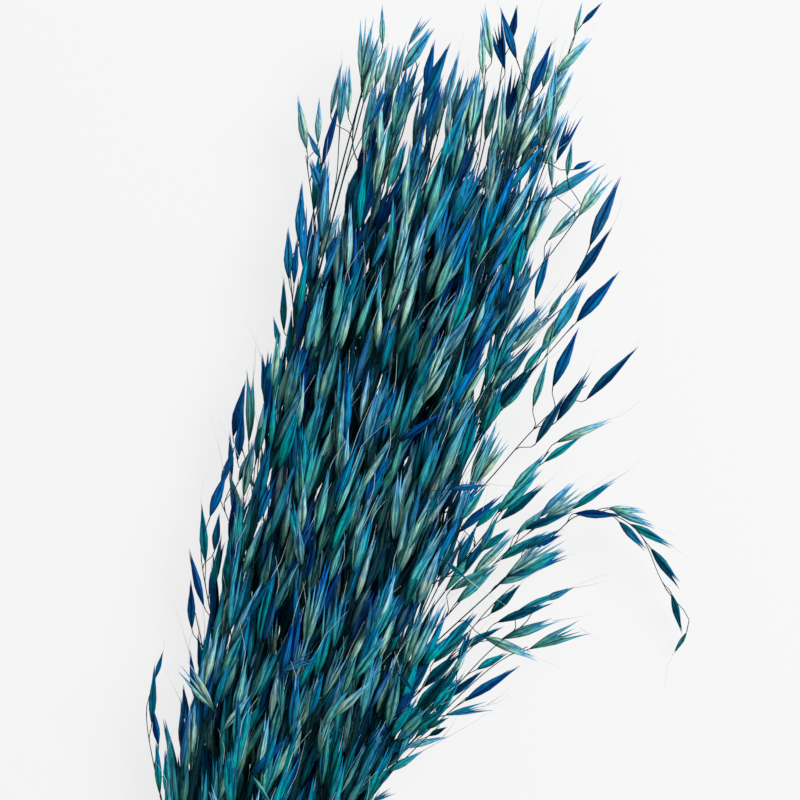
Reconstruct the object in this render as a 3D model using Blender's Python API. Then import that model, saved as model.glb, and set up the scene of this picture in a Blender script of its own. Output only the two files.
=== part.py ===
"""A tied bunch of dried oat stalks, lying on its side on a level surface.

The bunch lies along Y, heads towards +Y, with Z up. Each stalk is one fused solid: a straw that runs through
the tie, a slim core where the head's thin branches crowd round its central stem, and the spikelets and side
sprays that stand out of it. The twine tie is a solid of its own. Lengths are in metres.

While the bunch is being built its straws' middle line starts at x = 0 and the heads' middle at y = 0. At the
end everything is moved so that the origin is the middle of the underside.
"""
import math
import random

import bmesh
import bpy
import numpy as np
from mathutils import Matrix, Vector

# Stalks
STALK_COUNT = 24
GOLDEN_ANGLE = math.pi * (3.0 - math.sqrt(5.0))
GOLDEN_SHARE = (math.sqrt(5.0) - 1.0) / 2.0
SEED = 41
GAP = 0.0004

# Straws, from their cut ends to the start of the head
CUT_END_Y = -0.490
CUT_END_SPREAD = 0.008
STRAW_RADIUS = 0.00145
KNEE_RADIUS = 0.0019
KNEE_HALF_LENGTH = 0.004
KNEE_FIRST_Y = -0.465
KNEE_STEP = 0.013
KNEE_PLACES = 5

# Heads
HEAD_BASE_Y = -0.240
HEAD_BASE_SPREAD = 0.035
HEAD_TIP_Y = 0.106
HEAD_TIP_LEAN = 0.012
HEAD_TIP_DIP = 0.016
HEAD_TIP_SPREAD = 0.010
CORE_FULL_FROM = 0.15
CORE_FULL_TO = 0.75
CORE_RADIUS = 0.0029
STEM_TIP_RADIUS = 0.0009

# Bunch section along Y: y, middle x, middle z, half width, half depth of the block of stalk middle lines
SECTIONS = (
    (-0.500, 0.0000, 0.0146, 0.0140, 0.0140),
    (-0.352, 0.0000, 0.0195, 0.0106, 0.0106),
    (-0.338, 0.0000, 0.0200, 0.0106, 0.0106),
    (-0.250, -0.0005, 0.0228, 0.0230, 0.0155),
    (-0.170, -0.0015, 0.0228, 0.0385, 0.0200),
    (-0.080, -0.0025, 0.0232, 0.0415, 0.0215),
    (0.060, -0.0045, 0.0232, 0.0430, 0.0215),
    (0.150, -0.0070, 0.0228, 0.0405, 0.0190),
    (0.200, -0.0080, 0.0228, 0.0360, 0.0170),
)

# Levels where every stem has a ring between its knee and its tip, so that neighbours bend alike
STEM_LEVELS = (-0.359, -0.331, -0.300, -0.250, -0.210, -0.170, -0.080, 0.000, 0.060)

# Spikelets
SPIKELET_LENGTH = 0.0290
SPIKELET_WIDTH = 0.0062
SPIKELET_THICKNESS = 0.0040
SPIKELET_SIZE_SPREAD = 0.14
BELLY_AT = 0.42
ROOT_DEPTH = 0.60
FLARE = math.radians(19.0)
FLARE_SPREAD = math.radians(5.0)
FLARE_TO_THE_RIGHT = math.radians(5.0)
LEVEL_STEP = 0.0142
LEVEL_JITTER = 0.3
HEAD_BARE_START = 0.010
TURN_ASIDE = 0.55
OUTER_REACH = 0.66
INNER_REACH = 0.42
MIDDLE_STEPS = 2.5
INNER_STEPS = 4.2
FAN_OF_OUTER = math.radians(85.0)
LYING_HEIGHT = -0.0004
CLEARANCE_SPHERES = 11
THINNEST_SPHERE = 0.0008
CLEARANCE_STEP = 0.002
PLACING_TRIES = 8
FREE_FROM = 0.4
FLAT_SIDE_TILT = 0.6
TIP_ROOT_BACK = 0.004

# Side sprays: how the twig runs, from the stalk that it grows on to the tip of its last spikelet
TWIG_RADIUS = 0.0006
TWIG_CLEARANCE = 0.0002
TWIG_CLEARANCE_STEP = 0.0015
TWIG_SPIKELET_STEP = 0.0180
TWIG_SPIKELET_ANGLE = math.radians(14.0)
TWIG_SPIKELET_LIFT = 0.7
TWIG_BARE_START = 0.014
TWIG_BARE_END = 0.008
TWIG_TIP_OVERLAP = 0.003
TWIG_ROOT_DEPTH = 0.0022
TWIG_ROOT_BACK = 0.014
SPRAY_SHARING = 0.006
SPRAY_CHOICES = 10
SPRAYS = {
    "right_01": ((0.0448, 0.0640, 0.030), (0.0568, 0.0960, 0.033), (0.0600, 0.1180, 0.034)),
    "right_02": (
        (0.0480, 0.0330, 0.021), (0.0600, 0.0660, 0.024), (0.0635, 0.0850, 0.026), (0.0664, 0.1120, 0.029),
    ),
    "right_03": ((0.0460, 0.0100, 0.031), (0.0640, 0.0470, 0.036), (0.0752, 0.0723, 0.038)),
    "right_04": ((0.0440, -0.0300, 0.023), (0.0640, 0.0090, 0.027), (0.0912, 0.0444, 0.030)),
    "right_05": (
        (0.0440, -0.0600, 0.032), (0.0630, -0.0150, 0.037), (0.0710, 0.0010, 0.038), (0.0877, 0.0152, 0.039),
    ),
    "right_06": ((0.0430, -0.0860, 0.021), (0.0672, -0.0411, 0.024), (0.0968, -0.0101, 0.026)),
    "right_07": (
        (0.0420, -0.0950, 0.029), (0.0769, -0.0385, 0.034), (0.0862, -0.0250, 0.035),
        (0.1000, -0.0215, 0.033), (0.1130, -0.0264, 0.028), (0.1249, -0.0397, 0.020),
        (0.1322, -0.0480, 0.015), (0.1412, -0.0654, 0.006),
    ),
    "right_08": ((0.0430, -0.1150, 0.016), (0.0659, -0.0664, 0.018), (0.0893, -0.0383, 0.019)),
    "right_09": ((0.0430, -0.1300, 0.034), (0.0683, -0.0824, 0.040), (0.0938, -0.0545, 0.044)),
    "right_10": ((0.0420, -0.1380, 0.024), (0.0723, -0.0895, 0.028), (0.1017, -0.0681, 0.030)),
    "right_11": (
        (0.0420, -0.1250, 0.026), (0.0600, -0.0860, 0.033),
        (0.0670, -0.0800, 0.034), (0.0880, -0.0860, 0.034),
    ),
    "right_12": ((0.0380, -0.1560, 0.018), (0.0651, -0.1082, 0.019), (0.0787, -0.0899, 0.020)),
    "right_13": ((0.0360, -0.1650, 0.036), (0.0595, -0.1180, 0.037), (0.0728, -0.1060, 0.037)),
    "left_01": ((-0.0440, 0.0550, 0.026), (-0.0574, 0.0867, 0.028), (-0.0649, 0.1061, 0.029)),
    "left_02": ((-0.0450, 0.0250, 0.031), (-0.0535, 0.0500, 0.033), (-0.0569, 0.0697, 0.034)),
    "left_03": ((-0.0410, -0.0200, 0.024), (-0.0500, -0.0040, 0.025), (-0.0531, 0.0164, 0.026)),
    "left_04": ((-0.0390, -0.0520, 0.031), (-0.0516, -0.0300, 0.032), (-0.0553, -0.0068, 0.033)),
    "left_05": ((-0.0390, -0.0760, 0.023), (-0.0529, -0.0560, 0.024), (-0.0540, -0.0340, 0.025)),
    "left_06": ((-0.0390, -0.1100, 0.030), (-0.0540, -0.0800, 0.031), (-0.0604, -0.0580, 0.031)),
    "left_07": ((-0.0380, -0.1290, 0.022), (-0.0516, -0.1010, 0.024), (-0.0600, -0.0785, 0.025)),
    "left_08": (
        (-0.0300, -0.2000, 0.028), (-0.0500, -0.1650, 0.030),
        (-0.0590, -0.1420, 0.031), (-0.0593, -0.1200, 0.031),
    ),
    "top_01": ((-0.0100, -0.1900, 0.043), (-0.0170, -0.1580, 0.055), (-0.0190, -0.1240, 0.060)),
    "top_02": ((0.0120, -0.1300, 0.044), (0.0190, -0.0980, 0.058), (0.0220, -0.0640, 0.064)),
    "top_03": ((-0.0150, -0.0700, 0.045), (-0.0220, -0.0380, 0.058), (-0.0240, -0.0040, 0.063)),
    "top_04": ((0.0120, -0.0100, 0.045), (0.0170, 0.0220, 0.059), (0.0210, 0.0560, 0.065)),
    "tip_01": ((-0.0400, 0.0950, 0.030), (-0.0411, 0.1250, 0.033), (-0.0437, 0.1510, 0.035)),
    "tip_02": ((-0.0210, 0.1000, 0.041), (-0.0226, 0.1300, 0.047), (-0.0253, 0.1532, 0.050)),
    "tip_03": ((0.0100, 0.1000, 0.038), (0.0040, 0.1317, 0.043), (-0.0021, 0.1638, 0.044)),
    "tip_04": ((0.0140, 0.1000, 0.031), (0.0095, 0.1400, 0.033), (0.0070, 0.1642, 0.034)),
    "tip_05": ((0.0240, 0.1000, 0.040), (0.0230, 0.1334, 0.047), (0.0224, 0.1581, 0.050)),
    "tip_06": (
        (0.0310, 0.1100, 0.028), (0.0335, 0.1481, 0.030), (0.0353, 0.1600, 0.031), (0.0415, 0.1759, 0.033),
    ),
}

# Twine tie
TIE_Y = -0.345
TIE_INSIDE_RADIUS = 0.01245
TIE_MIDDLE_Z = 0.01975
TWINE_DIAMETER = 0.0021
TWINE_TURNS = 3
TIE_SIDES = 24
KNOT_AT = math.radians(68.0)
KNOT_SIZE = (0.0046, 0.0036, 0.0030)
KNOT_LIFT = 0.0005
TAIL_LENGTH = 0.024
TAIL_ALONG = 0.75
TAIL_ROUND = 0.55
TAIL_LIFT = 0.0012
TAIL_HUMP = 0.004

# Block that stands for the surface under the bunch
SURFACE_SIZE = (1.2, 1.6, 0.1)

# Finish: edges sharper than this stay crisp; sRGB colours of the dyed stalks and of the twine
SHARP_ANGLE = 40.0
DYE = (0.17, 0.37, 0.43)
DYE_SPREAD = 0.05
DYE_ROUGHNESS = 0.62
TWINE_COLOUR = (0.66, 0.56, 0.41)
TWINE_ROUGHNESS = 0.85


def linear(colour):
    """Linear RGBA of an sRGB colour."""
    return (*[part ** 2.2 for part in colour], 1.0)


def make_finish(name, colour, roughness):
    """Plain finish with its own Principled shader."""
    finish = bpy.data.materials.new(name)
    finish.use_nodes = True
    shader = finish.node_tree.nodes["Principled BSDF"]
    shader.inputs["Base Color"].default_value = linear(colour)
    shader.inputs["Roughness"].default_value = roughness
    shader.inputs["Metallic"].default_value = 0.0
    finish.diffuse_color = linear(colour)
    return finish


def bunch_section(y):
    """Middle x, middle z, half width and half depth at y, on a smooth curve through the listed sections."""
    rows = [np.array(row) for row in SECTIONS]
    y = min(max(y, rows[0][0]), rows[-1][0])
    after = next(k for k in range(1, len(rows)) if y <= rows[k][0])
    start, end = rows[after - 1], rows[after]
    before, beyond = rows[max(after - 2, 0)], rows[min(after + 1, len(rows) - 1)]
    span = end[0] - start[0]
    share = (y - start[0]) / span
    start_slope = (end - before) / (end[0] - before[0]) * span
    end_slope = (beyond - start) / (beyond[0] - start[0]) * span
    value = (
        start * (2 * share ** 3 - 3 * share ** 2 + 1)
        + start_slope * (share ** 3 - 2 * share ** 2 + share)
        + end * (3 * share ** 2 - 2 * share ** 3)
        + end_slope * (share ** 3 - share ** 2)
    )
    return value[1:]


class Stalk:
    """One stalk's place in the bunch, with the levels where its straw and its head start and end."""

    def __init__(self, index):
        self.index = index
        self.reach = math.sqrt((index + 0.5) / STALK_COUNT)
        self.across = self.reach * math.cos(index * GOLDEN_ANGLE)
        self.above = self.reach * math.sin(index * GOLDEN_ANGLE)
        self.draw = random.Random(SEED * 1000 + index)
        self.cut_y = CUT_END_Y + self.draw.uniform(-1.0, 1.0) * CUT_END_SPREAD
        self.base_y = HEAD_BASE_Y + self.draw.uniform(0.0, 1.0) * HEAD_BASE_SPREAD
        self.tip_y = HEAD_TIP_Y + self.draw.uniform(-1.0, 1.0) * HEAD_TIP_SPREAD
        self.tip_y += HEAD_TIP_LEAN * self.across + HEAD_TIP_DIP * abs(self.across)
        self.knee_y = KNEE_FIRST_Y + KNEE_STEP * (index % KNEE_PLACES)
        self.stem = [(self.cut_y, STRAW_RADIUS)]
        self.stem.append((self.knee_y - KNEE_HALF_LENGTH, STRAW_RADIUS))
        self.stem.append((self.knee_y, KNEE_RADIUS))
        self.stem.append((self.knee_y + KNEE_HALF_LENGTH, STRAW_RADIUS))
        self.stem += [(y, self.drawn_radius(y)) for y in (*STEM_LEVELS, self.tip_y)]
        self.rings = [(self.drawn_point(y), radius) for y, radius in self.stem]

    def drawn_point(self, y):
        """Point at y of the smooth line that the stem's rings are set on."""
        middle_x, middle_z, half_width, half_depth = bunch_section(y)
        return Vector((middle_x + self.across * half_width, y, middle_z + self.above * half_depth))

    def drawn_radius(self, y):
        """Radius of a ring at y: the straw's own below the head, fuller in its middle, thin at its tip."""
        share = (y - self.base_y) / (self.tip_y - self.base_y)
        if share < CORE_FULL_FROM:
            return STRAW_RADIUS + (CORE_RADIUS - STRAW_RADIUS) * max(0.0, share / CORE_FULL_FROM)
        if share > CORE_FULL_TO:
            thinning = min(1.0, (share - CORE_FULL_TO) / (1.0 - CORE_FULL_TO))
            return CORE_RADIUS + (STEM_TIP_RADIUS - CORE_RADIUS) * thinning
        return CORE_RADIUS

    def run(self, y):
        """The two rings on either side of y, and how far y is from the first to the second."""
        after = next((k for k in range(1, len(self.rings)) if y <= self.rings[k][0].y), len(self.rings) - 1)
        start, end = self.rings[after - 1], self.rings[after]
        return start, end, (y - start[0].y) / (end[0].y - start[0].y)

    def point(self, y):
        """Point of the stem's middle line at y, on the straight run between its rings."""
        start, end, share = self.run(y)
        return start[0].lerp(end[0], share)

    def along(self, y):
        """Direction of the stem at y, towards the tip."""
        start, end, share = self.run(y)
        return (end[0] - start[0]).normalized()

    def radius(self, y):
        """Radius of the stem at y."""
        start, end, share = self.run(y)
        return start[1] + (end[1] - start[1]) * share

    def outward(self, y):
        """Angle round Y of the way out of the bunch."""
        half_width, half_depth = bunch_section(y)[2:]
        return math.atan2(self.above / half_depth, self.across / half_width)


def clean_mesh(mesh):
    """Weld the mesh's doubled points and turn its faces outwards."""
    bm = bmesh.new()
    bm.from_mesh(mesh)
    bmesh.ops.remove_doubles(bm, verts=bm.verts, dist=1e-7)
    bmesh.ops.recalc_face_normals(bm, faces=bm.faces)
    bm.to_mesh(mesh)
    bm.free()
    return mesh


def evaluated_mesh(holder):
    """Mesh of an object with its modifiers or its bevel applied."""
    bpy.context.view_layer.update()
    shown = holder.evaluated_get(bpy.context.evaluated_depsgraph_get())
    return bpy.data.meshes.new_from_object(shown)


def place_object(name, mesh, collection=None):
    """Object with this mesh, in the given collection or in the scene's own."""
    holder = bpy.data.objects.new(name, mesh)
    (collection or bpy.context.scene.collection).objects.link(holder)
    return holder


def tube_mesh(points, radii, resolution):
    """Closed tube along the points: a bevelled curve with filled ends, turned into a mesh."""
    curve = bpy.data.curves.new("tube", "CURVE")
    curve.dimensions = "3D"
    curve.bevel_depth = 1.0
    curve.bevel_resolution = resolution
    curve.use_fill_caps = True
    spline = curve.splines.new("POLY")
    spline.points.add(len(points) - 1)
    for knot, point, radius in zip(spline.points, points, radii):
        knot.co = (*point, 1.0)
        knot.radius = radius
    holder = place_object("tube", curve)
    mesh = evaluated_mesh(holder)
    bpy.data.objects.remove(holder)
    bpy.data.curves.remove(curve)
    return clean_mesh(mesh)


def spikelet_mesh(root, direction, flat_side, length, width, thickness):
    """Four-sided spindle from its root: two slim pyramids that meet at its belly."""
    face_side = direction.cross(flat_side).normalized()
    flat_side = face_side.cross(direction).normalized()
    turn = Matrix((flat_side, face_side, direction)).transposed().to_4x4()
    belly = root + direction * BELLY_AT * length
    shape = Matrix.Diagonal((width / 2.0, thickness / 2.0, 1.0, 1.0))
    bm = bmesh.new()
    for share in (-BELLY_AT, 1.0 - BELLY_AT):
        lift = Matrix.Translation((0.0, 0.0, share * length / 2.0))
        bmesh.ops.create_cone(
            bm, segments=4, radius1=1.0 if share > 0.0 else 0.0, radius2=1.0 if share < 0.0 else 0.0,
            depth=abs(share) * length, matrix=Matrix.Translation(belly) @ turn @ shape @ lift,
        )
    bmesh.ops.remove_doubles(bm, verts=bm.verts, dist=1e-6)
    bmesh.ops.recalc_face_normals(bm, faces=bm.faces)
    mesh = bpy.data.meshes.new("spikelet")
    bm.to_mesh(mesh)
    bm.free()
    return mesh


class Clearance:
    """Spheres that stand in for what is placed, so that pieces of different stalks keep apart."""

    def __init__(self):
        self.centres = np.empty((0, 3))
        self.radii = np.empty(0)
        self.owners = np.empty(0, dtype=int)
        self.stands_out = np.empty(0, dtype=bool)

    def add(self, owner, spheres, rooted=0):
        """Remember a placed piece of the owner, of which the first spheres are rooted in its stalk."""
        self.centres = np.vstack([self.centres, [centre for centre, radius in spheres]])
        self.radii = np.append(self.radii, [radius for centre, radius in spheres])
        self.owners = np.append(self.owners, [owner] * len(spheres))
        self.stands_out = np.append(self.stands_out, [k >= rooted for k in range(len(spheres))])

    def gap(self, spheres, kept):
        """Smallest gap between the spheres and the kept ones that are already placed."""
        if not kept.any() or not spheres:
            return 1.0
        centres = np.array([centre for centre, radius in spheres])
        radii = np.array([radius for centre, radius in spheres])
        apart = np.linalg.norm(centres[:, None, :] - self.centres[kept][None, :, :], axis=2)
        return (apart - radii[:, None] - self.radii[kept][None, :]).min()

    def is_free(self, owner, spheres, rooted=0):
        """True where the spheres keep clear of other stalks, and past their roots of their own stalk too."""
        if self.gap(spheres, self.owners != owner) < GAP:
            return False
        return self.gap(spheres[rooted:], (self.owners == owner) & self.stands_out) > 0.0


def spikelet_spheres(root, direction, length, width):
    """Spheres along a spikelet, for measuring clearances."""
    spheres = []
    for k in range(CLEARANCE_SPHERES):
        share = k / (CLEARANCE_SPHERES - 1)
        fullness = share / BELLY_AT if share < BELLY_AT else (1.0 - share) / (1.0 - BELLY_AT)
        spheres.append((root + direction * share * length, max(THINNEST_SPHERE, fullness * width / 2.0)))
    return spheres


def path_points(path, step):
    """Points at equal steps along a path of straight runs, with the direction at each."""
    points = []
    for start, end in zip(path, path[1:]):
        run = (end - start).length
        direction = (end - start).normalized()
        for k in range(max(1, round(run / step))):
            points.append((start + direction * k * step, direction))
    points.append((path[-1], (path[-1] - path[-2]).normalized()))
    return points


def twig_spheres(path):
    """Spheres along a twig, for measuring clearances."""
    radius = TWIG_RADIUS + TWIG_CLEARANCE
    return [(point, radius) for point, direction in path_points(path, TWIG_CLEARANCE_STEP)]


def shortened(path, length):
    """The path without its last stretch of the given length."""
    path = list(path)
    while (path[-1] - path[-2]).length <= length:
        length -= (path[-1] - path[-2]).length
        path.pop()
    path[-1] = path[-1] + (path[-2] - path[-1]).normalized() * length
    return path


def drawn_size(draw):
    """Length, width and thickness of one spikelet."""
    scale = 1.0 + draw.uniform(-1.0, 1.0) * SPIKELET_SIZE_SPREAD
    fatness = 1.0 + draw.uniform(-1.0, 1.0) * SPIKELET_SIZE_SPREAD / 2.0
    return SPIKELET_LENGTH * scale, SPIKELET_WIDTH * fatness, SPIKELET_THICKNESS * fatness


def above_surface(root, direction, length):
    """The direction, raised where the spikelet's tip would reach below the surface that the bunch lies on."""
    lowest = root.z + direction.z * length
    if lowest < LYING_HEIGHT:
        direction = Vector((direction.x, direction.y, (LYING_HEIGHT - root.z) / length))
    return direction.normalized()


def try_spikelet(stalk, clearance, root, direction, size):
    """Mesh of a spikelet, or None where another stalk's pieces are in its way."""
    length, width, thickness = size
    direction = above_surface(root, direction, length)
    spheres = spikelet_spheres(root, direction, length, width)
    rooted = round(FREE_FROM * CLEARANCE_SPHERES)
    if not clearance.is_free(stalk.index, spheres, rooted):
        return None
    clearance.add(stalk.index, spheres, rooted)
    flat_side = Vector((1.0, 0.0, stalk.draw.uniform(-FLAT_SIDE_TILT, FLAT_SIDE_TILT)))
    return spikelet_mesh(root, direction, flat_side, length, width, thickness)


def head_spikelets(stalk, clearance):
    """Spikelets that stand out of the stalk's core, thickest on the side that faces out of the bunch."""
    meshes = []
    draw = stalk.draw
    outer = stalk.reach > OUTER_REACH
    fan = FAN_OF_OUTER if outer else math.pi
    if outer:
        level_step = LEVEL_STEP
    elif stalk.reach > INNER_REACH:
        level_step = LEVEL_STEP * MIDDLE_STEPS
    else:
        level_step = LEVEL_STEP * INNER_STEPS
    first_y = stalk.base_y + HEAD_BARE_START
    for level in range(int((stalk.tip_y - first_y) / level_step)):
        y = first_y + (level + draw.uniform(-LEVEL_JITTER, LEVEL_JITTER)) * level_step
        size = drawn_size(draw)
        start = (level * GOLDEN_SHARE) % 1.0 * 2.0 - 1.0
        flare = FLARE + draw.uniform(-1.0, 1.0) * FLARE_SPREAD + FLARE_TO_THE_RIGHT * stalk.across
        for attempt in range(PLACING_TRIES):
            around = stalk.outward(y) + start * fan + attempt * TURN_ASIDE * (-1) ** attempt
            out = Vector((math.cos(around), 0.0, math.sin(around)))
            root = stalk.point(y) + out * stalk.radius(y) * ROOT_DEPTH
            direction = stalk.along(y) * math.cos(flare) + out * math.sin(flare)
            mesh = try_spikelet(stalk, clearance, root, direction, size)
            if mesh:
                meshes.append(mesh)
                break
    tip_root = stalk.point(stalk.tip_y - TIP_ROOT_BACK)
    mesh = try_spikelet(stalk, clearance, tip_root, stalk.along(stalk.tip_y), drawn_size(draw))
    if mesh:
        meshes.append(mesh)
    return meshes


def spray_meshes(stalk, clearance, path):
    """A side spray: its thin twig, spikelets to either side of it, and one at its tip."""
    draw = stalk.draw
    length, width, thickness = drawn_size(draw)
    twig = shortened(path, length - TWIG_TIP_OVERLAP)
    meshes = [tube_mesh(twig, [TWIG_RADIUS] * len(twig), 0)]
    spheres = twig_spheres(twig)
    clearance.add(stalk.index, spheres, len(spheres))
    tip_direction = (path[-1] - path[-2]).normalized()
    tip_root = twig[-1] - tip_direction * TWIG_TIP_OVERLAP
    tip = try_spikelet(stalk, clearance, tip_root, tip_direction, (length, width, thickness))
    if tip:
        meshes.append(tip)
    side = draw.choice((-1.0, 1.0))
    travelled = 0.0
    for point, direction in path_points(twig, TWIG_SPIKELET_STEP):
        if travelled >= TWIG_BARE_START and (point - twig[-1]).length > TWIG_BARE_END:
            across = direction.cross(Vector((0.0, 0.0, 1.0))).normalized() * side
            lift = draw.uniform(-TWIG_SPIKELET_LIFT, TWIG_SPIKELET_LIFT)
            out = (across + Vector((0.0, 0.0, lift))).normalized()
            lean = direction * math.cos(TWIG_SPIKELET_ANGLE) + out * math.sin(TWIG_SPIKELET_ANGLE)
            mesh = try_spikelet(stalk, clearance, point - lean * TWIG_ROOT_DEPTH, lean, drawn_size(draw))
            if mesh:
                meshes.append(mesh)
            side = -side
        travelled += TWIG_SPIKELET_STEP
    return meshes


def grow_sprays(stalks, clearance):
    """Give each side spray to a near stalk that its twig reaches without crossing another stalk."""
    sprays = {stalk.index: [] for stalk in stalks}
    carried = {stalk.index: 0 for stalk in stalks}
    for name, places in SPRAYS.items():
        path = [Vector(place) for place in places]

        def detour(stalk):
            return (stalk.point(path[0].y) - path[0]).length + carried[stalk.index] * SPRAY_SHARING

        for stalk in sorted(stalks, key=detour)[:SPRAY_CHOICES]:
            whole = [stalk.point(path[0].y - TWIG_ROOT_BACK)] + path
            if clearance.is_free(stalk.index, twig_spheres(whole)):
                sprays[stalk.index] += spray_meshes(stalk, clearance, whole)
                carried[stalk.index] += 1
                print(name, "grows on stalk", stalk.index + 1)
                break
        else:
            print(name, "has no free stalk")
    return sprays


def apply_boolean(body, operation, tools=None, cutter=None):
    """Join a collection of objects to the body, or cut one object away from it, and keep the result."""
    boolean = body.modifiers.new("boolean", "BOOLEAN")
    boolean.solver = "EXACT"
    boolean.operation = operation
    if tools:
        boolean.operand_type = "COLLECTION"
        boolean.collection = tools
    else:
        boolean.object = cutter
    mesh = evaluated_mesh(body)
    body.modifiers.clear()
    body.data = mesh


def fuse(body, meshes):
    """Join the repeats to what they grow from in one union, then remove them."""
    repeats = bpy.data.collections.new("repeats")
    bpy.context.scene.collection.children.link(repeats)
    for mesh in meshes:
        place_object("repeat", mesh, repeats)
    apply_boolean(body, "UNION", tools=repeats)
    for repeat in list(repeats.objects):
        bpy.data.objects.remove(repeat)
    bpy.data.collections.remove(repeats)


def lay_flat(body):
    """Cut away what reaches below the surface, which leaves the small flat spots that the bunch rests on."""
    lowest = min((vert.co.z for vert in body.data.vertices), default=0.0)
    if lowest > -1e-6:
        return
    bm = bmesh.new()
    bmesh.ops.create_cube(bm, size=1.0)
    bmesh.ops.scale(bm, vec=SURFACE_SIZE, verts=bm.verts)
    bmesh.ops.translate(bm, vec=(0.0, 0.0, -SURFACE_SIZE[2] / 2.0), verts=bm.verts)
    mesh = bpy.data.meshes.new("surface")
    bm.to_mesh(mesh)
    bm.free()
    surface = place_object("surface", mesh)
    apply_boolean(body, "DIFFERENCE", cutter=surface)
    bpy.data.objects.remove(surface)


def build_stalks():
    """All stalks, each fused with its own spikelets and side sprays."""
    stalks = [Stalk(index) for index in range(STALK_COUNT)]
    clearance = Clearance()
    for stalk in stalks:
        levels = np.arange(stalk.cut_y, stalk.tip_y, CLEARANCE_STEP)
        stem = [(stalk.point(y), stalk.radius(y)) for y in levels]
        clearance.add(stalk.index, stem, len(stem))
    sprays = grow_sprays(stalks, clearance)
    repeats = {}
    for stalk in sorted(stalks, key=lambda stalk: -stalk.reach):
        repeats[stalk.index] = sprays[stalk.index] + head_spikelets(stalk, clearance)
    made = []
    for stalk in stalks:
        places = [place for place, radius in stalk.rings]
        stem = tube_mesh(places, [radius for place, radius in stalk.rings], 1)
        body = place_object(f"stalk_{stalk.index + 1:02d}", stem)
        fuse(body, repeats[stalk.index])
        lay_flat(body)
        clean_mesh(body.data)
        shade = [part + stalk.draw.uniform(-1.0, 1.0) * DYE_SPREAD for part in DYE]
        body.data.materials.clear()
        body.data.materials.append(make_finish(f"dyed_oat_{stalk.index + 1:02d}", shade, DYE_ROUGHNESS))
        made.append(body)
    print("spikelets and twigs", sum(len(meshes) for meshes in repeats.values()))
    return made


def tie_ring_mesh():
    """The turns of twine side by side: their outline spun once round the straws."""
    bm = bmesh.new()
    half_width = TWINE_TURNS * TWINE_DIAMETER / 2.0
    outline = [(TIE_INSIDE_RADIUS, -half_width)]
    for turn in range(TWINE_TURNS):
        middle = -half_width + (turn + 0.5) * TWINE_DIAMETER
        for angle in (150.0, 90.0, 30.0):
            bulge = math.radians(angle)
            y = middle + math.cos(bulge) * TWINE_DIAMETER / 2.0
            radius = TIE_INSIDE_RADIUS + TWINE_DIAMETER / 2.0 + math.sin(bulge) * TWINE_DIAMETER / 2.0
            outline.append((radius, y))
    outline.append((TIE_INSIDE_RADIUS, half_width))
    verts = [bm.verts.new((radius, y, 0.0)) for radius, y in outline]
    edges = [bm.edges.new((verts[k - 1], verts[k])) for k in range(len(verts))]
    bmesh.ops.spin(
        bm, geom=verts + edges, cent=(0.0, 0.0, 0.0), axis=(0.0, 1.0, 0.0),
        angle=2.0 * math.pi, steps=TIE_SIDES, use_merge=True,
    )
    bmesh.ops.translate(bm, vec=(0.0, TIE_Y, TIE_MIDDLE_Z), verts=bm.verts)
    mesh = bpy.data.meshes.new("tie")
    bm.to_mesh(mesh)
    bm.free()
    return clean_mesh(mesh)


def build_tie():
    """Twine tie with its knot and two short ends."""
    body = place_object("tie", tie_ring_mesh())
    out = Vector((math.cos(KNOT_AT), 0.0, math.sin(KNOT_AT)))
    round_way = Vector((math.sin(KNOT_AT), 0.0, -math.cos(KNOT_AT)))
    radius = TIE_INSIDE_RADIUS + TWINE_DIAMETER
    knot_middle = Vector((0.0, TIE_Y, TIE_MIDDLE_Z)) + out * (radius + KNOT_LIFT)
    bm = bmesh.new()
    bmesh.ops.create_icosphere(bm, subdivisions=1, radius=1.0)
    turn = Matrix((round_way, Vector((0.0, 1.0, 0.0)), out)).transposed().to_4x4()
    shape = Matrix.Diagonal((*KNOT_SIZE, 1.0))
    bmesh.ops.transform(bm, matrix=Matrix.Translation(knot_middle) @ turn @ shape, verts=bm.verts)
    knot = bpy.data.meshes.new("knot")
    bm.to_mesh(knot)
    bm.free()
    meshes = [clean_mesh(knot)]
    for side in (-1.0, 1.0):
        ends = []
        for share in (0.0, 0.35, 0.7, 1.0):
            reach = share * TAIL_LENGTH
            ahead = Vector((0.0, side * reach * TAIL_ALONG, 0.0)) + round_way * reach * TAIL_ROUND
            ends.append(knot_middle + ahead + out * (TAIL_LIFT + TAIL_HUMP * math.sin(share * math.pi)))
        meshes.append(tube_mesh(ends, [TWINE_DIAMETER / 2.0] * len(ends), 1))
    fuse(body, meshes)
    clean_mesh(body.data)
    body.data.materials.clear()
    body.data.materials.append(make_finish("natural_twine", TWINE_COLOUR, TWINE_ROUGHNESS))
    return body


def centre_on_underside(bodies):
    """Move everything so that the origin is the middle of the underside of the whole bunch."""
    corners = np.array([vert.co for body in bodies for vert in body.data.vertices])
    low, high = corners.min(axis=0), corners.max(axis=0)
    shift = Vector((-(low[0] + high[0]) / 2.0, -(low[1] + high[1]) / 2.0, -low[2]))
    for body in bodies:
        body.data.transform(Matrix.Translation(shift))
    print("moved by", [round(value, 5) for value in shift])
    print("size", [round(value, 4) for value in high - low])


def main():
    for old in list(bpy.data.objects):
        bpy.data.objects.remove(old)
    bodies = build_stalks()
    bodies.append(build_tie())
    centre_on_underside(bodies)
    triangles = 0
    for body in bodies:
        body.data.set_sharp_from_angle(angle=math.radians(SHARP_ANGLE))
        triangles += sum(len(face.vertices) - 2 for face in body.data.polygons)
    print("triangles", triangles)


main()
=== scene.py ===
# %% [markdown]
# # A tied bunch of dried oat stalks
# The bunch lies on its side. Its heads are dyed blue-green, and the camera looks down on them. Every stalk
# is built the way it grew: a straw, a thin central stem, hair-thin branches in whorls, and papery
# spikelets.

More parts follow.
